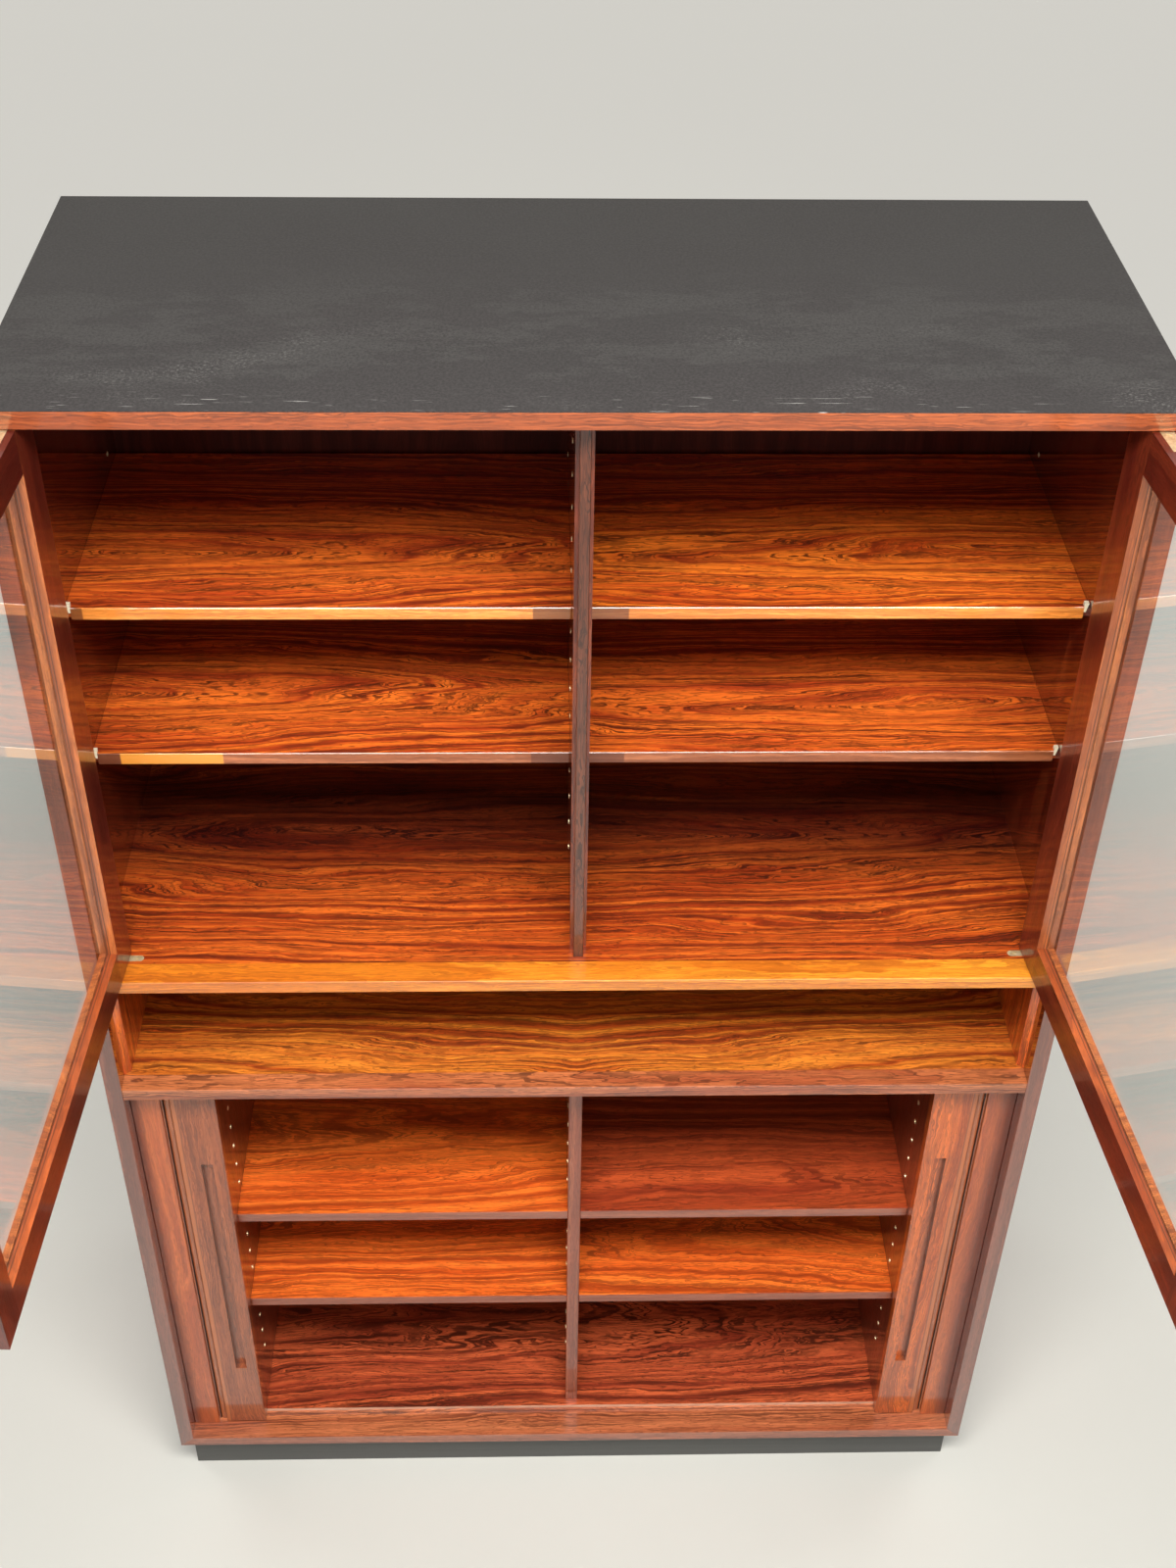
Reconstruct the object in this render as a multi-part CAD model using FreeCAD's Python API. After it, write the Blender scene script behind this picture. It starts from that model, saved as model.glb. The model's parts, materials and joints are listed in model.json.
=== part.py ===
import FreeCAD, Part
import math
import os

# Tall rosewood cabinet: a glazed case above an open niche and a lower case with two tambour curtains.
# Millimetres, +Z up, X across the front, +Y to the back, origin on the floor under the case's centre.

V = FreeCAD.Vector

# Carcass
case_width = 1200.0
case_depth = 514.0
lower_clear = 773.0
niche_clear = 175.0
upper_clear = 753.0
side_thick = 20.0
top_thick = 19.0
bottom_thick = 18.0
floor_thick = 18.0
laminate_thick = 1.0
back_thick = 8.0
back_recess = 4.0
back_joint = 1.0
edge_ease = 0.8

# Plinth
plinth_height = 70.0
plinth_inset = 16.0
plinth_thick = 18.0

# Lippings, liners, dividers
upper_lipping = 33.0
niche_lipping = 27.0
liner_thick = 8.0
liner_setback = 27.0
divider_thick = 20.0
divider_setback = 60.5
nosing_width = 12.0
nosing_setback = 40.5
lower_divider_thick = 18.0
lower_divider_setback = 58.0

# Lower case
floor_panel_thick = 5.0
floor_panel_setback = 46.5
pocket_panel_thick = 12.0
pocket_width = 108.0
post_reveal = 12.0
post_thick = 6.5
post_setback = 27.0

# Shelves and what carries them
shelf_thick = 16.0
upper_shelf_setback = 150.0
lower_shelf_setback = 56.0
shelf_back_gap = 5.0
shelf_end_gap = 1.0
upper_high_rise = 444.0
upper_low_rise = 235.0
lower_high_rise = 464.0
lower_low_rise = 269.0
pin_radius = 2.5
pin_sides = 8
pin_reach = 9.0
pin_sunk = 7.0
pin_inset = 42.0
pin_play = 0.2
clip_depth = 6.0
clip_above = 5.0
clip_below = 6.5
clip_width = 5.0
clip_foot = 2.4
clip_notch = 6.0
clip_play = 0.2

# Tambour curtains
lead_width = 59.0
lead_thick = 16.0
lead_setback = 29.0
lead_proud = 0.5
lead_end_play = 1.0
pull_width = 16.0
pull_depth = 9.0
pull_from_edge = 16.0
pull_foot = 140.0
pull_head = 163.0
slat_pitch = 9.0
slat_width = 8.4
slat_thick = 8.0
slat_crown = 1.1
slat_setback = 34.5
curtain_tail = 12.0
slat_end_play = 1.0
first_slat_gap = 0.6
canvas_thick = 0.8
canvas_play = 0.1
bend_radius = 22.0
curtain_side_gap = 3.0
curtain_back_gap = 3.0
tongue_thick = 4.0
tongue_reach = 4.0
track_play = 0.6

# Glazed doors
door_setback = 36.0
door_thick = 24.0
door_gap = 2.0
hinge_edge_gap = 2.5
meeting_gap = 1.5
hinge_stile_width = 52.0
meeting_stile_width = 40.0
top_rail_width = 48.0
bottom_rail_width = 46.0
glass_lip = 12.0
glass_thick = 4.0
glass_play = 1.0
rebate = 10.0
pivot_inset = 13.5
pivot_setback = 43.0
left_open_deg = 93.1
right_open_deg = 95.3

# Knife hinges
leaf_thick = 2.5
leaf_width = 10.0
leaf_length = 90.5
leaf_behind_pin = 9.5
plate_tip = 34.0
pin_hinge_radius = 2.5
hinge_fit = 0.08
hinge_pin_rise = 7.0
hinge_bore_spare = 1.0
collar_radius = 4.5
collar_play = 0.3

# One overrun serves every cut that has to pass a face
overrun = 5.0

# Places worked out from the sizes above
half_width = case_width / 2
inner_half = half_width - side_thick
front_y = -case_depth / 2
back_y = front_y + case_depth - back_recess - back_thick
bottom_top = plinth_height + bottom_thick
niche_floor_under = bottom_top + lower_clear
niche_floor_top = niche_floor_under + floor_thick
upper_floor_under = niche_floor_top + niche_clear
upper_floor_top = upper_floor_under + floor_thick
top_under = upper_floor_top + upper_clear
top_face = top_under + top_thick
lower_floor_top = bottom_top + floor_panel_thick
upper_shelf_tops = {"high": upper_floor_top + upper_high_rise, "low": upper_floor_top + upper_low_rise}
lower_shelf_tops = {"high": lower_floor_top + lower_high_rise, "low": lower_floor_top + lower_low_rise}
pocket_face = inner_half - pocket_width
pocket_back = pocket_face + pocket_panel_thick


def save(shape, name):
    """Write one named piece."""
    shape.exportStep("parts/" + name + ".step")


def block(low, high):
    """Box between two corners, each corner an x, y, z triple in either order."""
    corner = V(*[min(a, b) for a, b in zip(low, high)])
    size = [abs(b - a) for a, b in zip(low, high)]
    return Part.makeBox(size[0], size[1], size[2], corner)


def prism(points, direction):
    """Straight prism from a closed outline of vectors."""
    return Part.Face(Part.makePolygon(points + points[:1])).extrude(direction)


def behind(setback):
    """Y of a face that stands this far behind the case's front."""
    return front_y + setback


def eased(shape, test):
    """Take the sharp arris off the straight edges that the test picks."""
    edges = [e for e in shape.Edges if test(e)]
    return shape.makeChamfer(edge_ease, edges) if edges else shape


def lies_at(edge, axis, value):
    """True where both ends of an edge have this coordinate."""
    return all(abs(v.Point[axis] - value) < edge_ease / 4 for v in edge.Vertexes)


def ease_front(shape):
    """Break the long arrises of a board's front face."""
    front = shape.BoundBox.YMin
    shortest = 2 * edge_ease
    return eased(shape, lambda e: lies_at(e, 1, front) and e.Length > shortest)


def both_sides(make, name):
    """Save a piece made for the right side, and its mirror image for the left."""
    shape = make()
    save(shape, "right_" + name)
    save(shape.mirror(V(0, 0, 0), V(1, 0, 0)), "left_" + name)


def make_plinth():
    """Four boards on edge and a cross brace, set back under the case."""
    side = half_width - plinth_inset
    front = behind(plinth_inset)
    back = front_y + case_depth - plinth_inset
    inner_front = front + plinth_thick
    inner_back = back - plinth_thick
    save(block((-side, front, 0), (side, inner_front, plinth_height)), "plinth_front")
    save(block((-side, inner_back, 0), (side, back, plinth_height)), "plinth_back")
    both_sides(lambda: block((side - plinth_thick, inner_front, 0), (side, inner_back, plinth_height)),
               "plinth_end")
    half = plinth_thick / 2
    save(block((-half, inner_front, 0), (half, inner_back, plinth_height)), "plinth_brace")


def track_groove(low_z, high_z):
    """The tambour's track as a cutter: along the front, round both corners, down both pockets."""
    half = tongue_thick / 2 + track_play
    run_y = canvas_front_y() - tongue_thick / 2
    radius = bend_radius + tongue_thick / 2
    side_x = curtain_side_x() + tongue_thick / 2
    centre_x = side_x - radius
    rear_y = curtain_back_y() + tongue_thick / 2
    height = high_z - low_z
    cutter = block((-centre_x, run_y - half, low_z), (centre_x, run_y + half, high_z))
    for sign in (-1, 1):
        x = sign * side_x
        cutter = cutter.fuse(block((x - half, run_y + radius, low_z), (x + half, rear_y - radius, high_z)))
        for y, front in ((run_y + radius, True), (rear_y - radius, False)):
            ring = Part.makeCylinder(radius + half, height, V(sign * centre_x, y, low_z))
            ring = ring.cut(Part.makeCylinder(radius - half, height, V(sign * centre_x, y, low_z)))
            reach = radius + overrun
            far_y = y - reach if front else y + reach
            corner = block((sign * centre_x, y, low_z), (sign * (centre_x + reach), far_y, high_z))
            cutter = cutter.fuse(ring.common(corner))
        start = (sign * (centre_x - 2 * slat_pitch), rear_y - half, low_z)
        cutter = cutter.fuse(block(start, (sign * centre_x, rear_y + half, high_z)))
    return cutter


def make_carcass():
    """Mitred case of two sides, a top and a bottom, with its black sheet and two backs."""
    run = V(0, case_depth, 0)
    y = front_y
    top = [V(-half_width, y, top_face), V(half_width, y, top_face), V(inner_half, y, top_under),
           V(-inner_half, y, top_under)]
    bottom = [V(-half_width, y, plinth_height), V(half_width, y, plinth_height),
              V(inner_half, y, bottom_top), V(-inner_half, y, bottom_top)]
    side = [V(half_width, y, plinth_height), V(half_width, y, top_face), V(inner_half, y, top_under),
            V(inner_half, y, bottom_top)]
    groove = track_groove(bottom_top - tongue_reach - track_play, bottom_top + overrun)
    save(prism(bottom, run).cut(groove), "bottom_board")
    both_sides(lambda: bored(prism(side, run), inner_half, upper_pin_rows(), 1), "side_panel")
    board = prism(top, run)
    for sign in (-1, 1):
        board = board.cut(hinge_plate(sign, top_under, 1))
    save(board, "top_board")
    rear_corner = (half_width, front_y + case_depth, top_face + laminate_thick)
    save(block((-half_width, front_y, top_face), rear_corner), "top_laminate")
    seam = niche_floor_under + floor_thick / 2
    panel_back = back_y + back_thick
    save(block((-inner_half, back_y, bottom_top), (inner_half, panel_back, seam - back_joint / 2)),
         "lower_back_panel")
    save(block((-inner_half, back_y, seam + back_joint / 2), (inner_half, panel_back, top_under)),
         "upper_back_panel")


def make_floors():
    """The lower case's top and the glazed case's floor, each with a solid front lipping."""
    lip_y = behind(niche_lipping)
    groove = track_groove(niche_floor_under - overrun, niche_floor_under + tongue_reach + track_play)
    board = block((-inner_half, lip_y, niche_floor_under), (inner_half, back_y, niche_floor_top))
    save(board.cut(groove), "niche_floor")
    lipping = block((-inner_half, front_y, niche_floor_under), (inner_half, lip_y, niche_floor_top))
    save(ease_front(lipping), "niche_floor_lipping")
    lip_y = behind(upper_lipping)
    board = block((-inner_half, lip_y, upper_floor_under), (inner_half, back_y, upper_floor_top))
    for sign in (-1, 1):
        board = board.cut(hinge_plate(sign, upper_floor_top, -1))
    save(board, "upper_floor")
    lipping = block((-inner_half, front_y, upper_floor_under), (inner_half, lip_y, upper_floor_top))
    save(ease_front(lipping), "upper_floor_lipping")


def niche_liner():
    """Thin cheek of the niche, its front edge bevelled back to the side panel."""
    front = behind(liner_setback)
    face = inner_half - liner_thick
    outline = [V(inner_half, front, niche_floor_top), V(inner_half, back_y, niche_floor_top),
               V(face, back_y, niche_floor_top), V(face, front + liner_thick, niche_floor_top)]
    return prism(outline, V(0, 0, niche_clear))


def pin_bar(start, end_x):
    """One shelf pin, or its hole, as an upright-sided bar along X with a few flat faces."""
    corner_radius = pin_radius / math.cos(math.pi / pin_sides)
    outline = []
    for i in range(pin_sides):
        turn = (i + 1 / 2) * 2 * math.pi / pin_sides
        outline.append(start + V(0, corner_radius * math.cos(turn), corner_radius * math.sin(turn)))
    return prism(outline, V(end_x - start.x, 0, 0))


def pin_hole(face_x, setback, z, sign):
    """Cutter for one shelf pin's hole, bored from a face towards plus or minus X."""
    return pin_bar(V(face_x - sign * overrun, behind(setback), z), face_x + sign * pin_sunk)


def pin_setbacks(shelf_setback):
    """Setbacks of the two pins under each end of a shelf."""
    shelf_back = case_depth - back_recess - back_thick - shelf_back_gap
    return (shelf_setback + pin_inset, shelf_back - pin_inset)


def pin_level(shelf_top):
    """Height of the pins' axes under a shelf."""
    return shelf_top - shelf_thick - pin_radius - pin_play


def upper_pin_rows():
    """Levels and setbacks of the pins that carry the upper shelves."""
    return [(pin_level(top), pin_setbacks(upper_shelf_setback)) for top in upper_shelf_tops.values()]


def lower_pin_rows():
    """Levels and setbacks of the pins that carry the lower shelves."""
    return [(pin_level(top), pin_setbacks(lower_shelf_setback)) for top in lower_shelf_tops.values()]


def bored(board, face_x, rows, sign):
    """A board with one face bored for its shelf pins."""
    for z, setbacks in rows:
        for setback in setbacks:
            board = board.cut(pin_hole(face_x, setback, z, sign))
    return board


def make_dividers():
    """Upright boards in the middle of both cases, and the pocket panels beside the curtains."""
    half = divider_thick / 2
    board = block((-half, behind(divider_setback), upper_floor_top), (half, back_y, top_under))
    for sign in (-1, 1):
        board = bored(board, sign * half, upper_pin_rows(), -sign)
    save(board, "upper_divider")
    half = nosing_width / 2
    nosing_back = behind(divider_setback)
    nosing = block((-half, behind(nosing_setback), upper_floor_top), (half, nosing_back, top_under))
    save(ease_front(nosing), "upper_divider_nosing")
    half = lower_divider_thick / 2
    front = behind(lower_divider_setback)
    board = block((-half, front, lower_floor_top), (half, back_y, niche_floor_under))
    for sign in (-1, 1):
        board = bored(board, sign * half, lower_pin_rows(), -sign)
    save(ease_front(board), "lower_divider")
    front = behind(floor_panel_setback)
    panel = block((-pocket_face, front, bottom_top), (pocket_face, back_y, lower_floor_top))
    save(panel, "lower_floor_panel")


def pocket_panel():
    """Upright panel that keeps the stored curtain from the shelves."""
    front = behind(floor_panel_setback)
    board = block((pocket_face, front, bottom_top), (pocket_back, back_y, niche_floor_under))
    return bored(board, pocket_face, lower_pin_rows(), 1)


def front_post():
    """Thin upright strip that covers the curtain's turn at the corner."""
    front = behind(post_setback)
    edge_x = lead_outer_x() + post_reveal
    post = block((edge_x, front, bottom_top), (inner_half, front + post_thick, niche_floor_under))
    return ease_front(post)


def make_shelves():
    """Four loose shelves in each case, with their pins and the pale wedges at the upper outer ends."""
    pins = []
    clips = []
    shelf_back = back_y - shelf_back_gap
    cases = (("upper", upper_shelf_tops, divider_thick / 2, inner_half, upper_shelf_setback),
             ("lower", lower_shelf_tops, lower_divider_thick / 2, pocket_face, lower_shelf_setback))
    for case, tops, divider_face, outer_face, setback in cases:
        for level, top in tops.items():
            near = divider_face + shelf_end_gap
            far = outer_face - shelf_end_gap
            under = top - shelf_thick
            front = behind(setback)
            board = ease_front(block((near, front, under), (far, shelf_back, top)))
            if case == "upper":
                notch_x = outer_face - clip_notch
                notch_back = front + clip_depth + clip_play
                board = board.cut(block((notch_x, front - overrun, under - overrun),
                                        (far + overrun, notch_back, top + overrun)))
                clips.append(shelf_clip(notch_x, top, front))
            save(board, case + "_shelf_right_" + level)
            save(board.mirror(V(0, 0, 0), V(1, 0, 0)), case + "_shelf_left_" + level)
            for pin_setback in pin_setbacks(setback):
                for face, sign in ((divider_face, -1), (outer_face, 1)):
                    tip = face - sign * (shelf_end_gap + pin_reach)
                    start = V(tip, behind(pin_setback), pin_level(top))
                    pins.append(pin_bar(start, face + sign * pin_sunk))
    pins += [pin.mirror(V(0, 0, 0), V(1, 0, 0)) for pin in pins]
    clips += [clip.mirror(V(0, 0, 0), V(1, 0, 0)) for clip in clips]
    save(Part.makeCompound(pins), "shelf_pins")
    save(Part.makeCompound(clips), "shelf_end_clips")


def shelf_clip(shelf_end, shelf_top, front):
    """Small tapered wedge in the notch at a shelf's outer front corner."""
    high = shelf_top + clip_above
    low = shelf_top - clip_below
    outline = [V(shelf_end, front, low), V(shelf_end + clip_foot, front, low),
               V(shelf_end + clip_width, front, high), V(shelf_end, front, high)]
    return prism(outline, V(0, clip_depth, 0))


def curtain_side_x():
    """X of the stored curtain's canvas line, beside the side panel."""
    return inner_half - curtain_side_gap - slat_thick


def curtain_back_y():
    """Y of the canvas line where the curtain turns behind the pocket."""
    return back_y - curtain_back_gap - slat_thick


def canvas_front_y():
    """Y of the canvas line along the front."""
    return behind(slat_setback) + slat_thick


def lead_outer_x():
    """X of the lead stile's trailing edge when the curtain is open."""
    return pocket_face - lead_proud + lead_width


def curtain_runs():
    """Lengths of the canvas line: lead stile to corner, down the pocket, and round one corner."""
    front_run = curtain_side_x() - bend_radius - lead_outer_x()
    side_run = curtain_back_y() - canvas_front_y() - 2 * bend_radius
    return front_run, side_run, bend_radius * math.pi / 2


def slat_count():
    """Slats that fill the runs and both corners, and go on for at least the tail behind the pocket."""
    front_run, side_run, quarter = curtain_runs()
    return math.ceil((front_run + side_run + 2 * quarter + curtain_tail) / slat_pitch)


def curtain_place(distance):
    """Place and outward angle of the curtain's canvas line, measured back from the lead stile."""
    bend_x = curtain_side_x() - bend_radius
    front_centre = canvas_front_y() + bend_radius
    rear_centre = curtain_back_y() - bend_radius
    front_run, side_run, quarter = curtain_runs()
    if distance < front_run:
        return V(lead_outer_x() + distance, canvas_front_y(), 0), -90.0
    distance -= front_run
    if distance < quarter:
        turn = distance / bend_radius
        point = V(bend_x + bend_radius * math.sin(turn), front_centre - bend_radius * math.cos(turn), 0)
        return point, -90.0 + math.degrees(turn)
    distance -= quarter
    if distance < side_run:
        return V(curtain_side_x(), front_centre + distance, 0), 0.0
    distance -= side_run
    if distance < quarter:
        turn = distance / bend_radius
        point = V(bend_x + bend_radius * math.cos(turn), rear_centre + bend_radius * math.sin(turn), 0)
        return point, math.degrees(turn)
    distance -= quarter
    return V(bend_x - distance, curtain_back_y(), 0), 90.0


def slat():
    """One slat at the origin, flat back on X zero, crowned face towards plus X, ends rabbeted to tongues."""
    low = bottom_top + slat_end_play
    high = niche_floor_under - slat_end_play
    half = slat_width / 2
    shoulder = slat_thick - slat_crown
    sides = [Part.LineSegment(V(shoulder, -half, low), V(0, -half, low)),
             Part.LineSegment(V(0, -half, low), V(0, half, low)),
             Part.LineSegment(V(0, half, low), V(shoulder, half, low)),
             Part.Arc(V(shoulder, half, low), V(slat_thick, 0, low), V(shoulder, -half, low))]
    outline = Part.Wire([side.toShape() for side in sides])
    body = Part.Face(outline).extrude(V(0, 0, high - low))
    tongue = block((0, -half, bottom_top - tongue_reach),
                   (tongue_thick, half, niche_floor_under + tongue_reach))
    return body.fuse(tongue).removeSplitter()


def placed_slat(index):
    """The slat with this number, counted from the lead stile, where it lies in the track."""
    point, angle = curtain_place(first_slat_gap + (index + 1 / 2) * slat_pitch)
    piece = slat()
    piece.rotate(V(0, 0, 0), V(0, 0, 1), angle)
    piece.translate(point)
    return piece


def curtain_canvas():
    """Cloth glued to the slats' backs, as one thin sheet along the stored curtain."""
    low = bottom_top + slat_end_play
    height = niche_floor_under - slat_end_play - low
    outer = bend_radius - canvas_play
    inner = outer - canvas_thick
    bend_x = curtain_side_x() - bend_radius
    front_centre = canvas_front_y() + bend_radius
    rear_centre = curtain_back_y() - bend_radius
    front_run, side_run, quarter = curtain_runs()
    tail = slat_count() * slat_pitch - front_run - side_run - 2 * quarter
    start_x = lead_outer_x() + first_slat_gap

    def corner(centre_y, radius, first_turn):
        points = []
        for share in (0, 1 / 2, 1):
            turn = first_turn + share * math.pi / 2
            points.append(V(bend_x + radius * math.cos(turn), centre_y + radius * math.sin(turn), low))
        return Part.Arc(*points).toShape()

    def line(a, b):
        return Part.LineSegment(a, b).toShape()

    def run(radius):
        front = front_centre - radius
        side = bend_x + radius
        rear = rear_centre + radius
        return [line(V(start_x, front, low), V(bend_x, front, low)),
                corner(front_centre, radius, -math.pi / 2),
                line(V(side, front_centre, low), V(side, rear_centre, low)),
                corner(rear_centre, radius, 0),
                line(V(bend_x, rear, low), V(bend_x - tail, rear, low))]

    start_cap = line(V(start_x, front_centre - inner, low), V(start_x, front_centre - outer, low))
    end_cap = line(V(bend_x - tail, rear_centre + outer, low), V(bend_x - tail, rear_centre + inner, low))
    edges = run(outer) + [end_cap] + run(inner) + [start_cap]
    outline = Part.Wire(Part.__sortEdges__(edges))
    return Part.Face(outline).extrude(V(0, 0, height))


def tambour_lead():
    """Wide lead stile with a routed finger pull and a tongue at each end."""
    near = pocket_face - lead_proud
    far = lead_outer_x()
    front = behind(lead_setback)
    low = bottom_top + lead_end_play
    high = niche_floor_under - lead_end_play
    stile = ease_front(block((near, front, low), (far, front + lead_thick, high)))
    pull_near = near + pull_from_edge
    pull = block((pull_near, front - overrun, bottom_top + pull_foot),
                 (pull_near + pull_width, front + pull_depth, niche_floor_under - pull_head))
    tongue_back = canvas_front_y()
    tongue = block((near + slat_pitch, tongue_back - tongue_thick, bottom_top - tongue_reach),
                   (far - slat_pitch, tongue_back, niche_floor_under + tongue_reach))
    return stile.fuse(tongue).cut(pull).removeSplitter()


def make_tambour():
    """Both curtains: lead stile, first slat, the stored slats and their canvas."""
    both_sides(tambour_lead, "tambour_lead")
    both_sides(lambda: placed_slat(0), "tambour_first_slat")
    both_sides(lambda: Part.makeCompound([placed_slat(i) for i in range(1, slat_count())]), "tambour_slats")
    both_sides(curtain_canvas, "tambour_canvas")


def pivot(sign):
    """Plan position of a door's hinge axis."""
    return V(sign * (inner_half - pivot_inset), behind(pivot_setback), 0)


def hinge_plate(sign, face_z, up):
    """Round-ended brass plate let flush into the floor or the top, without its pin."""
    centre = pivot(sign)
    half = leaf_width / 2
    tip_x = centre.x - sign * (plate_tip - half)
    depth = V(0, 0, up * leaf_thick)
    plate = block((centre.x, centre.y - half, face_z), (tip_x, centre.y + half, face_z + depth.z))
    for x in (centre.x, tip_x):
        plate = plate.fuse(Part.makeCylinder(half, leaf_thick, V(x, centre.y, face_z), V(0, 0, up)))
    return plate.removeSplitter()


def make_case_plates():
    """The four case plates, each with a raised collar and the pin that the door turns on."""
    plates = []
    for sign in (-1, 1):
        for face_z, up in ((upper_floor_top, -1), (top_under, 1)):
            centre = pivot(sign) + V(0, 0, face_z)
            out = V(0, 0, -up)
            plate = hinge_plate(sign, face_z, up)
            plate = plate.fuse(Part.makeCylinder(collar_radius, door_gap - collar_play, centre, out))
            plate = plate.fuse(Part.makeCylinder(pin_hinge_radius, hinge_pin_rise, centre, out))
            plates.append(plate.removeSplitter())
    save(Part.makeCompound(plates), "hinge_case_plates")


def door_pieces():
    """The right door's pieces, closed, by name."""
    front = behind(door_setback)
    back = front + door_thick
    low = upper_floor_top + door_gap
    high = top_under - door_gap
    hinge_x = inner_half - hinge_edge_gap
    free_x = nosing_width / 2 + meeting_gap
    open_right = hinge_x - hinge_stile_width
    open_left = free_x + meeting_stile_width
    open_low = low + bottom_rail_width
    open_high = high - top_rail_width
    lip_y = back - glass_lip
    pocket = block((open_left - rebate, front - overrun, open_low - rebate),
                   (open_right + rebate, lip_y, open_high + rebate))
    centre = pivot(1)
    half = leaf_width / 2
    leaf_end = hinge_x - leaf_length
    leaves = []
    holes = []
    for z, up in ((low, 1), (high, -1)):
        leaf = block((hinge_x, centre.y - half, z),
                     (leaf_end, centre.y + leaf_behind_pin, z + up * leaf_thick))
        holes.append(leaf)
        base = V(centre.x, centre.y, z)
        bore = Part.makeCylinder(pin_hinge_radius + hinge_fit, leaf_thick, base, V(0, 0, up))
        leaves.append(leaf.cut(bore))
        deep = hinge_pin_rise - door_gap + hinge_bore_spare
        holes.append(Part.makeCylinder(pin_hinge_radius + hinge_fit, deep, base, V(0, 0, up)))
    frame = {
        "hinge_stile": block((open_right, front, low), (hinge_x, back, high)),
        "meeting_stile": block((free_x, front, low), (open_left, back, high)),
        "bottom_rail": block((open_left, front, low), (open_right, back, open_low)),
        "top_rail": block((open_left, front, open_high), (open_right, back, high)),
    }
    pieces = {}
    for name, piece in frame.items():
        piece = piece.cut(pocket)
        for hole in holes:
            piece = piece.cut(hole)
        pieces[name] = piece.removeSplitter()
    glass_front = lip_y - glass_thick
    pieces["glass"] = block((open_left - rebate + glass_play, glass_front, open_low - rebate + glass_play),
                            (open_right + rebate - glass_play, lip_y, open_high + rebate - glass_play))
    pieces["beads"] = door_beads(open_left, open_right, open_low, open_high, front, glass_front)
    pieces["hinge_leaves"] = Part.makeCompound(leaves)
    return pieces


def door_beads(left, right, low, high, front, glass_front):
    """Four mitred strips that hold the glass in its rebate."""
    inner = [V(left, front, low), V(right, front, low), V(right, front, high), V(left, front, high)]
    outer = [V(left - rebate, front, low - rebate), V(right + rebate, front, low - rebate),
             V(right + rebate, front, high + rebate), V(left - rebate, front, high + rebate)]
    run = V(0, glass_front - front, 0)
    strips = []
    for i, point in enumerate(inner):
        following = (i + 1) % len(inner)
        strips.append(prism([point, inner[following], outer[following], outer[i]], run))
    return Part.makeCompound(strips)


def make_doors():
    """Both glazed doors, each swung open to where it rests."""
    for side, sign, degrees in (("right", 1, right_open_deg), ("left", -1, left_open_deg)):
        for name, piece in door_pieces().items():
            if sign < 0:
                piece = piece.mirror(V(0, 0, 0), V(1, 0, 0))
            piece.rotate(pivot(sign), V(0, 0, 1), sign * degrees)
            save(piece, side + "_door_" + name)


os.makedirs("parts", exist_ok=True)
make_plinth()
make_carcass()
make_floors()
both_sides(niche_liner, "niche_liner")
make_dividers()
both_sides(pocket_panel, "pocket_panel")
both_sides(front_post, "front_post")
make_shelves()
make_tambour()
make_case_plates()
make_doors()
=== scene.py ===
import json
import math
import bmesh
import bpy
from mathutils import Matrix, Vector

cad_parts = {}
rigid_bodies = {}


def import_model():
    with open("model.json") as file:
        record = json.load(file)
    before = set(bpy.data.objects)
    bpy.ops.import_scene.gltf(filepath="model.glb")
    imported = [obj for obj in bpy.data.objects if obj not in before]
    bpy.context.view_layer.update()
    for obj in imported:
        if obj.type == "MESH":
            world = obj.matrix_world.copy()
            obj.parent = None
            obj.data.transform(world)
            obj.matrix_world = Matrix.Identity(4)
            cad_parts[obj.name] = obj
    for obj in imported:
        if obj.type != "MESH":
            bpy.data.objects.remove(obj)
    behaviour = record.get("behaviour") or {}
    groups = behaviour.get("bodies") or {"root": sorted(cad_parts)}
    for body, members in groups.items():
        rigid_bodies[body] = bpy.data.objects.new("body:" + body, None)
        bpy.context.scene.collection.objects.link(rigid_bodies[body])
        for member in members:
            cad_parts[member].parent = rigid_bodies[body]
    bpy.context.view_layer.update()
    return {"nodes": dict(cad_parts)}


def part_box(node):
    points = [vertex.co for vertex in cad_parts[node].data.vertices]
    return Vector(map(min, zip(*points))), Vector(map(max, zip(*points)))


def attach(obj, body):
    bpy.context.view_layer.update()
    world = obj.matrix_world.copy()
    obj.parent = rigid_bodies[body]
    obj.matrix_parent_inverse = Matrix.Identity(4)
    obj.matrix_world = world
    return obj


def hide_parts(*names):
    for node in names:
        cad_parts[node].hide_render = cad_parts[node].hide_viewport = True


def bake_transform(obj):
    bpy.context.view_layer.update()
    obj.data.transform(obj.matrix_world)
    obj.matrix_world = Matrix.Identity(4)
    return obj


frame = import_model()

# Plinth: a ring of boards with a cross brace, set back under the case so that the case seems to float.
# Softwood boards in satin black paint, screwed together at the corners and up into the bottom board.


def put(tree, kind, feeds=None, **settings):
    """Add a node, set it, and feed its sockets with values or with other nodes' outputs."""
    made = tree.nodes.new(kind)
    for name, value in settings.items():
        setattr(made, name, value)
    for key, value in (feeds or {}).items():
        if isinstance(value, bpy.types.NodeSocket):
            tree.links.new(value, made.inputs[key])
        else:
            made.inputs[key].default_value = value
    return made


def maths(tree, operation, a, b=0.0):
    """One sum of two values."""
    return put(tree, "ShaderNodeMath", {0: a, 1: b}, operation=operation).outputs[0]


def times(tree, a, b):
    """One value times another."""
    return maths(tree, "MULTIPLY", a, b)


def scaled(tree, value, factor, start):
    """A value times a factor, on top of a start."""
    return maths(tree, "ADD", times(tree, value, factor), start)


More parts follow.
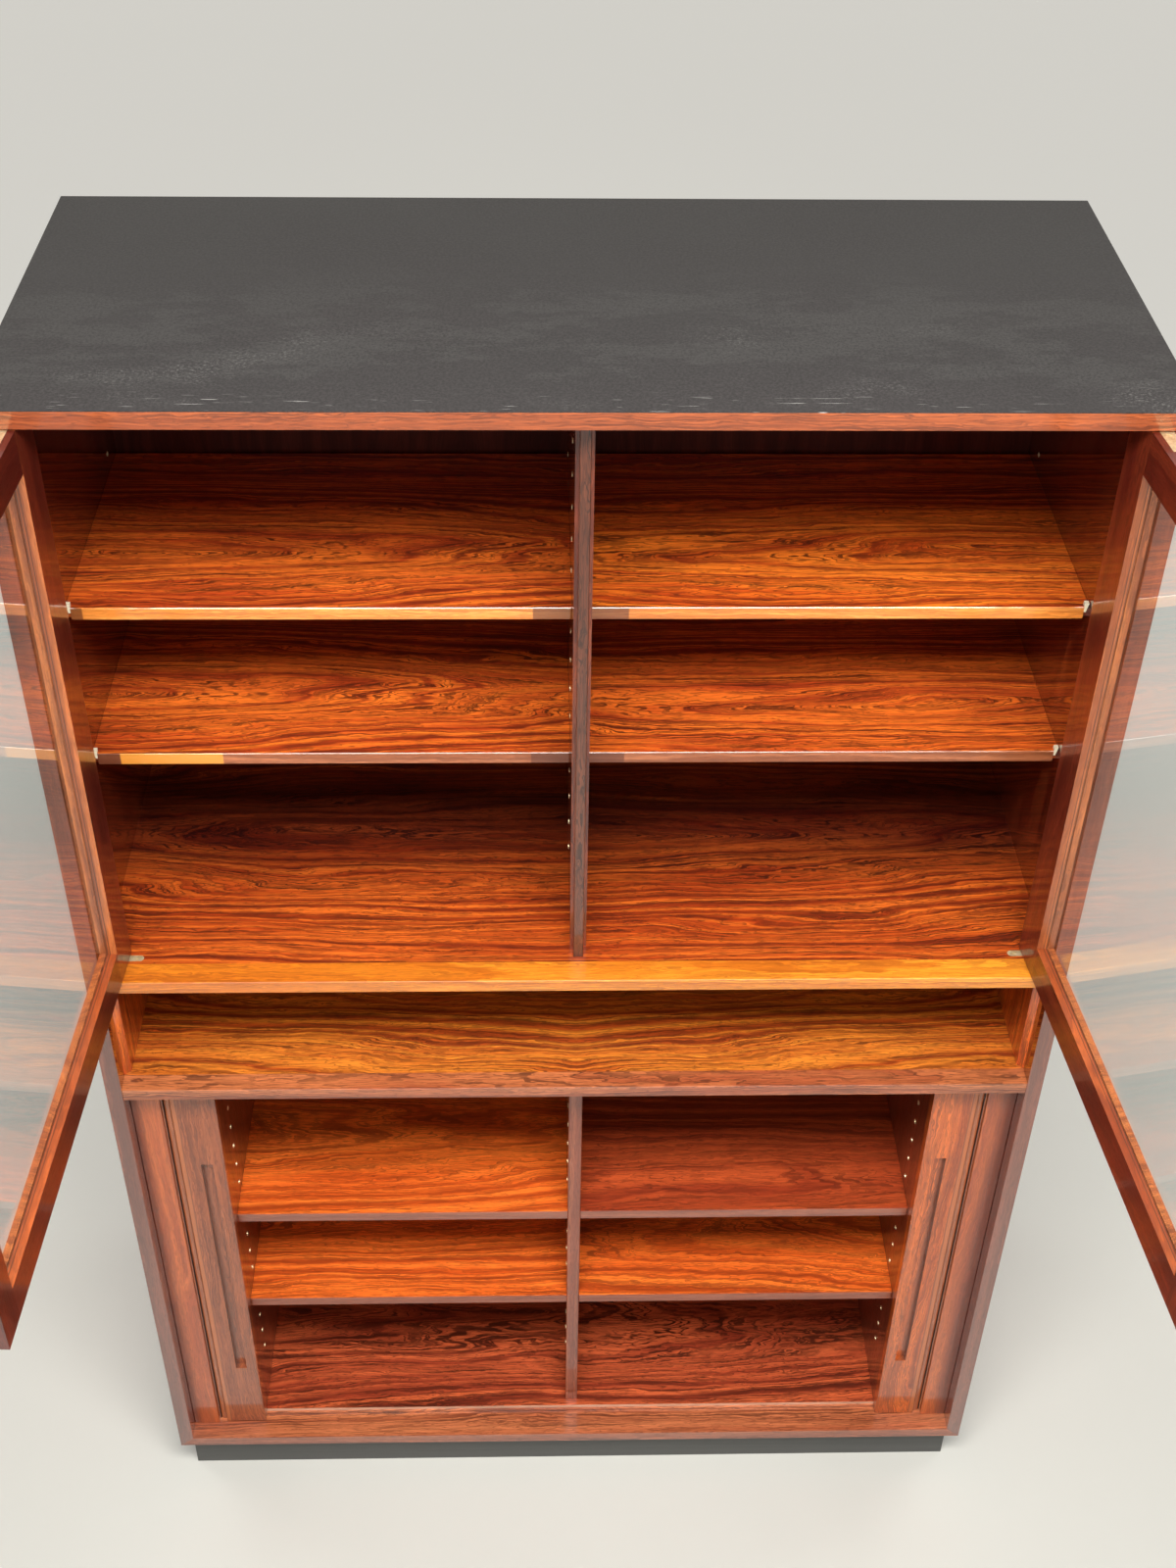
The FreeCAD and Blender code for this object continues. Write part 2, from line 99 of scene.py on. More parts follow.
def vectors(tree, operation, a, b):
    """One sum of two vectors."""
    return put(tree, "ShaderNodeVectorMath", {0: a, 1: b}, operation=operation).outputs[0]


def cloud(tree, place, stretch, detail=2.0, roughness=0.5):
    """Noise on stretched coordinates; high numbers give fine spots, low ones long streaks."""
    stretched = vectors(tree, "MULTIPLY", place, stretch)
    feeds = {"Vector": stretched, "Scale": 1.0, "Detail": detail, "Roughness": roughness}
    return put(tree, "ShaderNodeTexNoise", feeds)


def ease(tree, value, low, high):
    """Smooth step of a value from 0 at low to 1 at high."""
    feeds = {"Value": value, "From Min": low, "From Max": high}
    return put(tree, "ShaderNodeMapRange", feeds, interpolation_type="SMOOTHSTEP").outputs["Result"]


def tint(tree, share, a, b, kind="MIX"):
    """Mix of two colours."""
    return put(tree, "ShaderNodeMix", {0: share, 6: a, 7: b}, data_type="RGBA", blend_type=kind).outputs[2]


def emboss(tree, shader, height, strength, distance):
    """Raise a surface's fine relief where the height says."""
    bump = put(tree, "ShaderNodeBump", {"Strength": strength, "Distance": distance, "Height": height})
    tree.links.new(bump.outputs[0], shader.inputs["Normal"])


def own_place(tree):
    """A point's place in the piece's own coordinates."""
    return put(tree, "ShaderNodeTexCoord").outputs["Object"]


def new_finish(name):
    """New material, with its node tree, its shader and the piece's own coordinates."""
    finish = bpy.data.materials.new(name)
    finish.use_nodes = True
    tree = finish.node_tree
    return finish, tree, tree.nodes["Principled BSDF"], own_place(tree)


def dress(finish, *names):
    """Give CAD nodes a finish."""
    for name in names:
        for slot in frame["nodes"][name].material_slots:
            slot.material = finish


def new_group(name, inputs, outputs):
    """New node group with its sockets; gives the group, its inputs and its output node."""
    group = bpy.data.node_groups.new(name, "ShaderNodeTree")
    for title, kind, start in inputs:
        socket = group.interface.new_socket(title, in_out="INPUT", socket_type="NodeSocket" + kind)
        if start is not None:
            socket.default_value = start
    for title, kind in outputs:
        group.interface.new_socket(title, in_out="OUTPUT", socket_type="NodeSocket" + kind)
    return group, put(group, "NodeGroupInput").outputs, put(group, "NodeGroupOutput").inputs


scuffs, given, gives = new_group("scuffs", [("Vector", "Vector", None), ("Amount", "Float", 0.5)],
                                 [("Mask", "Float")])
patches = cloud(scuffs, given["Vector"], (5.0, 9.0, 9.0), 4.0, 0.62).outputs[0]
specks = cloud(scuffs, given["Vector"], (260.0, 420.0, 420.0), 3.0, 0.7).outputs[0]
worn = times(scuffs, ease(scuffs, patches, 0.52, 0.70), ease(scuffs, specks, 0.50, 0.66))
scuffs.links.new(times(scuffs, worn, given["Amount"]), gives["Mask"])

black_paint, tree, shader, place = new_finish("black_plinth_paint")
marks = put(tree, "ShaderNodeGroup", {"Vector": place, "Amount": 0.45}, node_tree=scuffs)
brushed = cloud(tree, place, (3.0, 160.0, 160.0), 2.0).outputs[0]
coat = tint(tree, brushed, (0.052, 0.052, 0.049, 1), (0.096, 0.095, 0.090, 1))
tree.links.new(tint(tree, marks.outputs["Mask"], coat, (0.11, 0.11, 0.10, 1)), shader.inputs["Base Color"])
tree.links.new(scaled(tree, brushed, 0.2, 0.36), shader.inputs["Roughness"])
emboss(tree, shader, brushed, strength=0.2, distance=0.0003)
dress(black_paint, "plinth_front", "plinth_back", "left_plinth_end", "right_plinth_end", "plinth_brace")


# Case: bottom, two sides and top, mitred together at the corners into one box.
# Blockboard veneered in rosewood, grain running round the case, under glossy lacquer; glued with splines.
figure, given, gives = new_group(
    "rosewood_figure",
    [("Vector", "Vector", None), ("Heart", "Float", 0.06), ("Lean", "Float", 0.0), ("Bands", "Float", 200.0),
     ("Swirl", "Float", 0.05), ("Ink", "Float", 0.8), ("Dark", "Color", None), ("Red", "Color", None),
     ("Gold", "Color", None)],
    [("Color", "Color"), ("Roughness", "Float"), ("Height", "Float")])
half = (0.5, 0.5, 0.5)
slow = vectors(figure, "SUBTRACT", cloud(figure, given["Vector"], (1.6, 9.0, 9.0)).outputs["Color"], half)
swirl = put(figure, "ShaderNodeVectorMath", {0: slow, "Scale": given["Swirl"]}, operation="SCALE").outputs[0]
quick = vectors(figure, "SUBTRACT", cloud(figure, given["Vector"], (24.0, 85.0, 85.0)).outputs["Color"], half)
ripple = vectors(figure, "MULTIPLY", quick, (0.008, 0.008, 0.008))
bent = vectors(figure, "ADD", vectors(figure, "ADD", given["Vector"], swirl), ripple)
along, across, deep = put(figure, "ShaderNodeSeparateXYZ", {0: bent}).outputs
leaning = times(figure, along, given["Lean"])
deep = maths(figure, "ADD", maths(figure, "ADD", deep, given["Heart"]), leaning)
radius = maths(figure, "SQRT", maths(figure, "ADD", times(figure, across, across), times(figure, deep, deep)))
ring_place = times(figure, radius, given["Bands"])
rings = put(figure, "ShaderNodeTexNoise", {"W": ring_place, "Scale": 1.0, "Detail": 2.0},
            noise_dimensions="1D").outputs[0]
tones = put(figure, "ShaderNodeTexNoise", {"W": ring_place, "Scale": 0.3, "Detail": 2.0},
            noise_dimensions="1D").outputs[0]
fibre = cloud(figure, bent, (16.0, 480.0, 480.0), 3.0, 0.6).outputs[0]
pores = ease(figure, cloud(figure, given["Vector"], (60.0, 1500.0, 1500.0), 1.0).outputs[0], 0.58, 0.70)
zones = cloud(figure, given["Vector"], (2.2, 13.0, 13.0)).outputs[0]
warmth = maths(figure, "ADD", times(figure, tones, 0.6), times(figure, zones, 0.4))
warm = tint(figure, ease(figure, warmth, 0.38, 0.62), given["Red"], given["Gold"])
frayed = maths(figure, "ADD", rings, times(figure, maths(figure, "SUBTRACT", fibre, 0.5), 0.25))
edge = maths(figure, "ABSOLUTE", maths(figure, "SUBTRACT", frayed, 0.5))
fading = ease(figure, cloud(figure, bent, (5.0, 60.0, 60.0)).outputs[0], 0.30, 0.58)
line = times(figure, ease(figure, edge, 0.080, 0.020), fading)
strands = cloud(figure, bent, (9.0, 190.0, 190.0)).outputs[0]
broad = maths(figure, "ADD", times(figure, tones, 0.5), times(figure, strands, 0.5))
broad = times(figure, ease(figure, broad, 0.48, 0.34), 0.8)
loops = maths(figure, "SUBTRACT", cloud(figure, bent, (11.0, 300.0, 300.0)).outputs[0], 0.5)
hair = times(figure, ease(figure, maths(figure, "ABSOLUTE", loops), 0.050, 0.010), 0.70)
line = maths(figure, "MAXIMUM", maths(figure, "MAXIMUM", line, broad), hair)
line = times(figure, line, given["Ink"])
wood = tint(figure, line, warm, given["Dark"])
streak = scaled(figure, fibre, 0.9, 0.55)
wood = tint(figure, 1.0, wood, streak, "MULTIPLY")
wood = tint(figure, times(figure, pores, 0.35), wood, given["Dark"])
figure.links.new(wood, gives["Color"])
figure.links.new(scaled(figure, pores, 0.2, 0.30), gives["Roughness"])
figure.links.new(maths(figure, "SUBTRACT", fibre, pores), gives["Height"])

upright_side = (0, math.pi / 2, 0)
upright_front = (math.pi / 2, 0, math.pi / 2)
along_y = (0, 0, -math.pi / 2)
ink_brown = (0.062, 0.011, 0.005, 1)
rose_red = (0.50, 0.060, 0.011, 1)
rose_gold = (0.92, 0.196, 0.022, 1)


def rosewood(name, turn=(0, 0, 0), shift=(0, 0, 0), heart=0.06, lean=0.0, bands=200.0, swirl=0.05, ink=0.75,
             dark=ink_brown, red=rose_red, gold=rose_gold, lacquer=0.8, source="Object"):
    """Lacquered rosewood; turn and shift lay the grain along the piece and choose the part of the log."""
    finish, tree, shader, place = new_finish(name)
    if source != "Object":
        place = put(tree, "ShaderNodeAttribute", attribute_name=source).outputs["Vector"]
    laid = put(tree, "ShaderNodeMapping", {"Vector": place, "Location": shift, "Rotation": turn}).outputs[0]
    feeds = {"Vector": laid, "Heart": heart, "Lean": lean, "Bands": bands, "Swirl": swirl, "Ink": ink,
             "Dark": dark, "Red": red, "Gold": gold}
    cut = put(tree, "ShaderNodeGroup", feeds, node_tree=figure)
    tree.links.new(cut.outputs["Color"], shader.inputs["Base Color"])
    tree.links.new(cut.outputs["Roughness"], shader.inputs["Roughness"])
    emboss(tree, shader, cut.outputs["Height"], strength=0.12, distance=0.0003)
    shader.inputs["Coat Weight"].default_value = lacquer
    shader.inputs["Coat Roughness"].default_value = 0.07
    return finish


def where(tree):
    """The three coordinates of the piece itself."""
    return put(tree, "ShaderNodeSeparateXYZ", {0: own_place(tree)}).outputs


def recolour(finish, share, colour, kind="MIX"):
    """Mix another colour over a finish where the share says."""
    tree = finish.node_tree
    shader = tree.nodes["Principled BSDF"]
    face = shader.inputs["Base Color"].links[0].from_socket
    tree.links.new(tint(tree, share, face, colour, kind), shader.inputs["Base Color"])


def second_wood(finish, share, dark, red, gold, ink=0.35):
    """Show another length of wood on a finish where the share says."""
    tree = finish.node_tree
    first = next(node for node in tree.nodes if node.type == "GROUP")
    feeds = {"Vector": first.inputs["Vector"].links[0].from_socket, "Heart": 0.15, "Bands": 340.0, "Swirl": 0.03,
             "Ink": ink, "Dark": dark, "Red": red, "Gold": gold}
    other = put(tree, "ShaderNodeGroup", feeds, node_tree=figure)
    recolour(finish, share, other.outputs["Color"])


def lipped(finish, edge, dark, red, gold, lengths=(), ink=0.35):
    """Give a board's finish a solid lipping in front of this place, pieced with other lengths of wood."""
    tree = finish.node_tree
    x, y = where(tree)[:2]
    joint = 0.0003
    front = ease(tree, y, edge + joint, edge - joint)
    second_wood(finish, front, dark, red, gold, ink)
    butt = 0.001
    for low, high, colour in lengths:
        length = times(tree, ease(tree, x, low - butt, low + butt), ease(tree, x, high + butt, high - butt))
        recolour(finish, times(tree, times(tree, length, front), 0.75), colour)
    return finish


case_edge = -0.2562
inner_face = 0.5810
inner_painted_shade = (0.34, 0.27, 0.46, 1)
mauve = ((0.06, 0.015, 0.008, 1), (0.165, 0.034, 0.015, 1), (0.245, 0.057, 0.026, 1))
salmon = ((0.065, 0.015, 0.007, 1), (0.27, 0.055, 0.016, 1), (0.45, 0.106, 0.029, 1))
brown_edge = ((0.075, 0.022, 0.012, 1), (0.30, 0.076, 0.034, 1), (0.48, 0.140, 0.062, 1))
veneer = rosewood("bottom_rosewood", shift=(0.4, 0.1, -0.06), bands=190, swirl=0.10, ink=0.75,
                  red=(0.42, 0.106, 0.042, 1), gold=(0.66, 0.212, 0.082, 1))
dress(lipped(veneer, case_edge, *brown_edge, ink=0.6), "bottom_board")
veneer = rosewood("top_rosewood", shift=(0.9, 0.13, -1.83), bands=240)
dress(lipped(veneer, case_edge, *salmon, ink=0.7), "top_board")
for side, sign in (("left", -1), ("right", 1)):
    veneer = rosewood(side + "_side_rosewood", upright_side, (0.3 * sign, 0.05 * sign, 0.58 * sign), heart=0.04,
                      lean=0.03 * sign, bands=300, swirl=0.07, ink=0.6, red=(0.36, 0.046, 0.010, 1),
                      gold=(0.64, 0.140, 0.024, 1), lacquer=1.0)
    lipped(veneer, case_edge, *mauve)
    tree = veneer.node_tree
    x, y = where(tree)[:2]
    inside = ease(tree, maths(tree, "ABSOLUTE", x), inner_face + 0.0005, inner_face - 0.0005)
    inside = times(tree, inside, ease(tree, y, case_edge, case_edge + 0.0012))
    # Painted shade: the inner faces get a darker, cooler colour than the outer faces.
    recolour(veneer, inside, inner_painted_shade, "MULTIPLY")
    shader = tree.nodes["Principled BSDF"]
    grain = shader.inputs["Roughness"].links[0].from_socket
    tree.links.new(maths(tree, "SUBTRACT", grain, times(tree, inside, 0.26)), shader.inputs["Roughness"])
    shader.inputs["Normal"].links[0].from_node.inputs["Strength"].default_value = 0.03
    shader.inputs["Coat IOR"].default_value = 1.9
    shader.inputs["Coat Roughness"].default_value = 0.03
    dress(veneer, side + "_side_panel")


# Top sheet: a thin black laminate bonded over the case's top, its edges trimmed flush with the veneer.
# Satin black with a faint leathery tooth, rubbed patches and a few pale scratches along the front.
rub_depth = (0.05, -0.16)
patch_back, patch_front = (0.10, -0.05), (-0.222, -0.190)
scratch_depth = (-0.215, -0.235)
laminate, tree, shader, place = new_finish("black_laminate")
marks = put(tree, "ShaderNodeGroup", {"Vector": place, "Amount": 0.8}, node_tree=scuffs)
y = where(tree)[1]
rubbed = times(tree, ease(tree, y, *rub_depth), marks.outputs["Mask"])
tooth = cloud(tree, place, (900.0, 900.0, 900.0), 2.0).outputs[0]
mottled = cloud(tree, place, (4.0, 4.0, 4.0), 3.0).outputs[0]
base = tint(tree, mottled, (0.021, 0.018, 0.019, 1), (0.036, 0.031, 0.032, 1))
speckle = ease(tree, cloud(tree, place, (330.0, 330.0, 330.0), 3.0, 0.7).outputs[0], 0.30, 0.70)
base = tint(tree, 1.0, base, scaled(tree, speckle, 0.9, 0.55), "MULTIPLY")
ragged = cloud(tree, place, (5.0, 13.0, 13.0), 6.0, 0.7).outputs[0]
middle = times(tree, ease(tree, y, *patch_back), ease(tree, y, *patch_front))
patch = times(tree, middle, ease(tree, ragged, 0.48, 0.54))
patch = times(tree, patch, scaled(tree, speckle, 0.8, 0.05))
base = tint(tree, patch, base, (0.052, 0.049, 0.048, 1))
base = tint(tree, rubbed, base, (0.14, 0.135, 0.13, 1))
scored = cloud(tree, place, (26.0, 900.0, 30.0), 2.0, 0.4).outputs[0]
front = times(tree, ease(tree, y, *scratch_depth), ease(tree, scored, 0.70, 0.76))
base = tint(tree, front, base, (0.55, 0.54, 0.52, 1))
tree.links.new(base, shader.inputs["Base Color"])
tree.links.new(scaled(tree, mottled, 0.2, 0.34), shader.inputs["Roughness"])
emboss(tree, shader, tooth, strength=0.25, distance=0.0002)
dress(laminate, "top_laminate")


# Back panels: one sheet behind the lower case and niche, one behind the glazed case, let into a rebate.
# Thin ply, rosewood-veneered inside and plain brown outside, held by small screws all round.
outer_face = 0.2520
for name, low_z, heart in (("lower_back_panel", 0.5, 0.03), ("upper_back_panel", 1.4, 0.07)):
    veneer = rosewood(name.replace("panel", "rosewood"), upright_front, (-low_z, 0.06, -0.245), heart=heart,
                      lean=0.02, bands=170, swirl=0.08, ink=0.5, red=(0.050, 0.008, 0.006, 1),
                      gold=(0.085, 0.015, 0.009, 1))
    tree = veneer.node_tree
    shader = tree.nodes["Principled BSDF"]
    place = own_place(tree)
    outside = ease(tree, where(tree)[1], outer_face - 0.0005, outer_face + 0.0005)
    plain = cloud(tree, place, (420.0, 420.0, 5.0), 3.0, 0.6).outputs[0]
    brown = tint(tree, plain, (0.22, 0.112, 0.052, 1), (0.40, 0.225, 0.110, 1))
    shown = tint(tree, outside, shader.inputs["Base Color"].links[0].from_socket, brown)
    tree.links.new(shown, shader.inputs["Base Color"])
    shader.inputs["Specular IOR Level"].default_value = 0.2
    grain = shader.inputs["Roughness"].links[0].from_socket
    dull = maths(tree, "ADD", grain, times(tree, outside, 0.3))
    tree.links.new(dull, shader.inputs["Roughness"])
    lacquered = maths(tree, "SUBTRACT", 1.0, outside)
    tree.links.new(times(tree, lacquered, 0.12), shader.inputs["Coat Weight"])
    dress(veneer, name)


def begin(name):
    """Name the primitive just added, apply its size and place, and open it for editing."""
    piece = bpy.context.object
    piece.name = name
    piece.data.name = name
    bpy.ops.object.transform_apply(location=True, rotation=True, scale=True)
    bpy.ops.object.mode_set(mode="EDIT")
    return piece


def pick(piece, test, kind="FACE"):
    """Select, in edit mode, the faces or edges whose middle and direction pass the test."""
    bpy.ops.mesh.select_mode(type=kind)
    bpy.ops.mesh.select_all(action="DESELECT")
    mesh = bmesh.from_edit_mesh(piece.data)
    if kind == "FACE":
        for face in mesh.faces:
            face.select_set(test(face.calc_center_median(), face.normal))
    else:
        for edge in mesh.edges:
            a, b = (vertex.co for vertex in edge.verts)
            edge.select_set(test((a + b) / 2, (b - a).normalized()))
    bmesh.update_edit_mesh(piece.data)


def copies(model, places, name):
    """Copy a modelled shape to each place and join the copies into one piece."""
    bpy.ops.object.mode_set(mode="OBJECT")
    bpy.ops.object.select_all(action="DESELECT")
    for matrix in places:
        copy = bpy.data.objects.new(name, model.data.copy())
        copy.data.transform(matrix)
        bpy.context.scene.collection.objects.link(copy)
        copy.select_set(True)
        bpy.context.view_layer.objects.active = copy
    bpy.ops.object.join()
    piece = bpy.context.object
    piece.name = name
    piece.data.name = name
    return piece


def drop(model):
    """Remove a model once its copies are made."""
    bpy.data.objects.remove(model)


def cover(piece, finish, body):
    """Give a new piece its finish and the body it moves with."""
    piece.data.materials.clear()
    piece.data.materials.append(finish)
    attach(piece, body)


def slotted_screw(name, head):
    """Countersunk screw head with a cut slot, face up at the origin."""
    slot_half = 0.11 * head
    slot_depth = head * 0.22
    bpy.ops.object.select_all(action="DESELECT")
    bpy.ops.mesh.primitive_cylinder_add(vertices=20, radius=head, depth=head * 0.5, location=(0, 0, -head * 0.22))
    screw = begin(name)
    pick(screw, lambda middle, normal: normal.z < -0.9)
    bpy.ops.transform.resize(value=(0.6, 0.6, 1.0))
    pick(screw, lambda middle, normal: normal.z > 0.9)
    bpy.ops.mesh.inset(thickness=head * 0.12)
    bpy.ops.transform.translate(value=(0, 0, head * 0.05))
    for edge_x in (-slot_half, slot_half):
        bpy.ops.mesh.select_all(action="SELECT")
        bpy.ops.mesh.bisect(plane_co=(edge_x, 0, 0), plane_no=(1, 0, 0))
    pick(screw, lambda middle, normal: normal.z > 0.5 and abs(middle.x) < slot_half)
    bpy.ops.mesh.extrude_region_move(TRANSFORM_OT_translate={"value": (0, 0, -slot_depth)})
    bpy.ops.mesh.select_all(action="SELECT")
    bpy.ops.mesh.normals_make_consistent(inside=False)
    bpy.ops.object.mode_set(mode="OBJECT")
    return screw


brass, tree, shader, place = new_finish("aged_brass")
tarnish = cloud(tree, place, (140.0, 140.0, 140.0), 3.0, 0.6).outputs[0]
drawn = cloud(tree, place, (90.0, 2500.0, 2500.0), 1.0).outputs[0]
tree.links.new(tint(tree, ease(tree, tarnish, 0.40, 0.70), (0.96, 0.84, 0.54, 1), (0.74, 0.57, 0.30, 1)),
               shader.inputs["Base Color"])
tree.links.new(scaled(tree, tarnish, 0.3, 0.22), shader.inputs["Roughness"])
emboss(tree, shader, drawn, strength=0.1, distance=0.0001)
shader.inputs["Metallic"].default_value = 0.7

screw = slotted_screw("back_screw_model", 0.0036)
screw_inset = 0.012
screws_across = 8
screws_up = 4
screw_proud = 0.0001
for name in ("lower_back_panel", "upper_back_panel"):
    low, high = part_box(name)
    places = []
    for i in range(screws_across):
        x = low.x + screw_inset + (high.x - low.x - 2 * screw_inset) * i / (screws_across - 1)
        places += [(x, low.z + screw_inset), (x, high.z - screw_inset)]
    for i in range(1, screws_up + 1):
        z = low.z + (high.z - low.z) * i / (screws_up + 1)
        places += [(low.x + screw_inset, z), (high.x - screw_inset, z)]
    facing = [Matrix.Translation((x, high.y + screw_proud, z)) @ Matrix.Rotation(-math.pi / 2, 4, "X")
              @ Matrix.Rotation(0.9 * k, 4, "Z") for k, (x, z) in enumerate(places)]
    cover(copies(screw, facing, name + "_screws"), brass, "cabinet")
drop(screw)


# Niche floor and upper floor: the boards over and under the open niche, housed between the sides.
# Blockboard with rosewood veneer, book-matched about the middle on the niche floor, lacquered glossy.
veneer = rosewood("niche_floor_rosewood", shift=(0.2, 0.02, -0.879), heart=0.03, lean=0.12, bands=330, swirl=0.10,
                  ink=0.8, red=(0.56, 0.090, 0.011, 1), gold=(0.90, 0.280, 0.026, 1))
tree = veneer.node_tree
# Painted shade: the front strip of the niche floor is given a darker colour.
painted_shade_depth, front_painted_shade = (-0.135, -0.195), (0.84, 0.82, 1.0, 1)
recolour(veneer, ease(tree, where(tree)[1], *painted_shade_depth), front_painted_shade, "MULTIPLY")
laid = next(node for node in tree.nodes if node.type == "MAPPING")
x, y, z = put(tree, "ShaderNodeSeparateXYZ", {0: laid.inputs["Vector"].links[0].from_socket}).outputs
matched = put(tree, "ShaderNodeCombineXYZ", {0: maths(tree, "ABSOLUTE", x), 1: y, 2: z}).outputs[0]
tree.links.new(matched, laid.inputs["Vector"])
dress(veneer, "niche_floor")
veneer = rosewood("upper_floor_rosewood", shift=(-0.3, -0.02, -1.072), heart=0.035, lean=0.10, bands=360,
                  swirl=0.11, ink=0.95, red=(0.40, 0.046, 0.007, 1), gold=(0.76, 0.155, 0.018, 1))
tree = veneer.node_tree
y = where(tree)[1]
# Painted shadow: a darker band across the floor behind its front, its edge wavering.
waves = cloud(tree, own_place(tree), (3.0, 12.0, 12.0), 3.0).outputs[0]
y = maths(tree, "ADD", y, times(tree, maths(tree, "SUBTRACT", waves, 0.5), 0.10))
band_front, band_back, band_painted_shadow = (-0.125, 0.03), (0.17, 0.08), (0.20, 0.15, 0.30, 1)
painted_shadow_band = times(tree, ease(tree, y, *band_front), ease(tree, y, *band_back))
recolour(veneer, painted_shadow_band, band_painted_shadow, "MULTIPLY")
dress(veneer, "upper_floor")


# Lippings: solid strips along the front of both floors, planed flush with the veneer.
# The upper one is a golden sapwood length, the niche one darker heartwood with a rounded arris.
dress(rosewood("golden_lipping", shift=(0.1, 0.24, -1.05), heart=0.02, bands=300, swirl=0.05, ink=0.55,
               dark=(0.24, 0.050, 0.008, 1), red=(0.64, 0.170, 0.012, 1), gold=(0.92, 0.340, 0.028, 1)),
      "upper_floor_lipping")
dress(rosewood("niche_lipping_rosewood", shift=(-0.5, 0.24, -0.86), heart=0.03, bands=300, swirl=0.04,
               dark=(0.055, 0.014, 0.008, 1), red=(0.36, 0.080, 0.029, 1), gold=(0.58, 0.185, 0.064, 1)),
      "niche_floor_lipping")


# Niche liners: short upright boards that line the niche's ends between the two floors.
# Solid rosewood, grain upright, glued to the sides a little behind the front.
for side, sign in (("left", -1), ("right", 1)):
    dress(rosewood(side + "_liner_rosewood", upright_side, (-0.97, 0.1, 0.57 * sign), heart=0.03, bands=260),
          side + "_niche_liner")


# Dividers: the upright boards in the middle of both cases, the upper one with a narrow nosing in front.
# Veneered board with grain upright; the nosing is a solid dark strip that both doors close against.
dress(rosewood("upper_divider_rosewood", upright_side, (-1.4, 0.1, 0.0), heart=0.03, lean=0.02, bands=260,
               red=(0.15, 0.020, 0.007, 1), gold=(0.28, 0.050, 0.013, 1)), "upper_divider")
dress(rosewood("nosing_rosewood", upright_front, (-1.4, 0.0, 0.2), heart=0.15, bands=520, swirl=0.01, ink=0.9,
               dark=(0.026, 0.007, 0.003, 1), red=(0.085, 0.020, 0.008, 1), gold=(0.155, 0.043, 0.019, 1)),
      "upper_divider_nosing")
dress(rosewood("lower_divider_rosewood", upright_side, (-0.4, 0.08, 0.0), heart=0.15, bands=420, swirl=0.02, ink=0.4,
               dark=(0.08, 0.018, 0.009, 1), red=(0.22, 0.046, 0.020, 1), gold=(0.36, 0.090, 0.036, 1)),
      "lower_divider")


# Lower case lining: a thin floor sheet, the pocket panels that hide the stored curtains, and the front posts.
# Rosewood veneer, upright on the panels; the posts are flat solid strips glued to the sides.
veneer = rosewood("lower_floor_rosewood", shift=(0.6, 0.05, -0.093), heart=0.05, lean=0.07, bands=260, swirl=0.12,
                  ink=0.95, red=(0.34, 0.047, 0.018, 1), gold=(0.68, 0.132, 0.042, 1))
corner_painted_shade = (0.34, 0.28, 0.30, 1)
floor_edge = -0.2100
pale_edge = ((0.50, 0.26, 0.16, 1), (0.72, 0.42, 0.28, 1), (0.85, 0.56, 0.40, 1))
dress(lipped(veneer, floor_edge, *pale_edge), "lower_floor_panel")
for side, sign in (("left", -1), ("right", 1)):
    dress(rosewood(side + "_pocket_rosewood", upright_side, (-0.5, 0.12, 0.475 * sign), heart=0.04, lean=0.03,
                   bands=240, red=(0.15, 0.024, 0.011, 1), gold=(0.25, 0.048, 0.020, 1)),
          side + "_pocket_panel")
    veneer = rosewood(side + "_post_rosewood", upright_front, (-0.3, -0.56 * sign, 0.23), heart=0.02,
                      lean=0.02 * sign, bands=360, swirl=0.06, ink=0.35, dark=(0.16, 0.040, 0.018, 1),
                      red=(0.42, 0.074, 0.017, 1), gold=(0.62, 0.142, 0.031, 1))
    tree = veneer.node_tree
    # Painted shade: each post is darkened towards its outer edge, in the corner against the side.
    shade_from, shade_to = 0.5550 - 0.0050 * sign, 0.5780 - 0.0020 * sign
    corner = ease(tree, maths(tree, "ABSOLUTE", where(tree)[0]), shade_from, shade_to)
    recolour(veneer, corner, corner_painted_shade, "MULTIPLY")
    dress(veneer, side + "_front_post")


# Pin sockets: rows of small sleeves in the side, pocket and divider faces, for setting shelves at any height.
# Turned brass, pressed into bored holes with a thin flange left proud of the veneer.
sleeve_radius = 0.0032
sleeve_length = 0.0040
sleeve_proud = 0.0004
flange = 0.0008
bore_depth = 0.0032
bpy.ops.object.select_all(action="DESELECT")
bpy.ops.mesh.primitive_cylinder_add(vertices=10, radius=sleeve_radius, depth=sleeve_length,
                                    location=(0, 0, sleeve_proud - sleeve_length / 2))
socket = begin("socket_model")
pick(socket, lambda middle, normal: normal.z > 0.9)
bpy.ops.mesh.inset(thickness=flange)
bpy.ops.mesh.extrude_region_move(TRANSFORM_OT_translate={"value": (0, 0, -bore_depth)})
bpy.ops.object.mode_set(mode="OBJECT")
front_y = -0.257
pin_rows = {"upper": (1.2883, 0.0418, (0.192, 0.455), (0.010, 0.580)),
            "lower": (0.3433, 0.0390, (0.098, 0.455), (0.009, 0.472))}
shelf_steps = (0, 5)
empty_steps = [step for step in range(-4, 12) if step not in shelf_steps]


def pin_places(case, steps):
    """The face, the setback and the place of each of a case's pin holes at these steps of the rows."""
    first_z, pitch, setbacks, faces = pin_rows[case]
    for step in steps:
        for setback in setbacks:
            for sign in (-1, 1):
                for face, way in zip(faces, (1, -1)):
                    place = Matrix.Translation((sign * face, front_y + setback, first_z + step * pitch))
                    yield face, setback, place @ Matrix.Rotation(sign * way * math.pi / 2, 4, "Y")


for case in pin_rows:
    # The glazed case's side panels have only the rear row.
    places = [place for face, setback, place in pin_places(case, empty_steps) if face < 0.5 or setback > 0.2]
    cover(copies(socket, places, case + "_pin_sockets"), brass, "cabinet")
drop(socket)


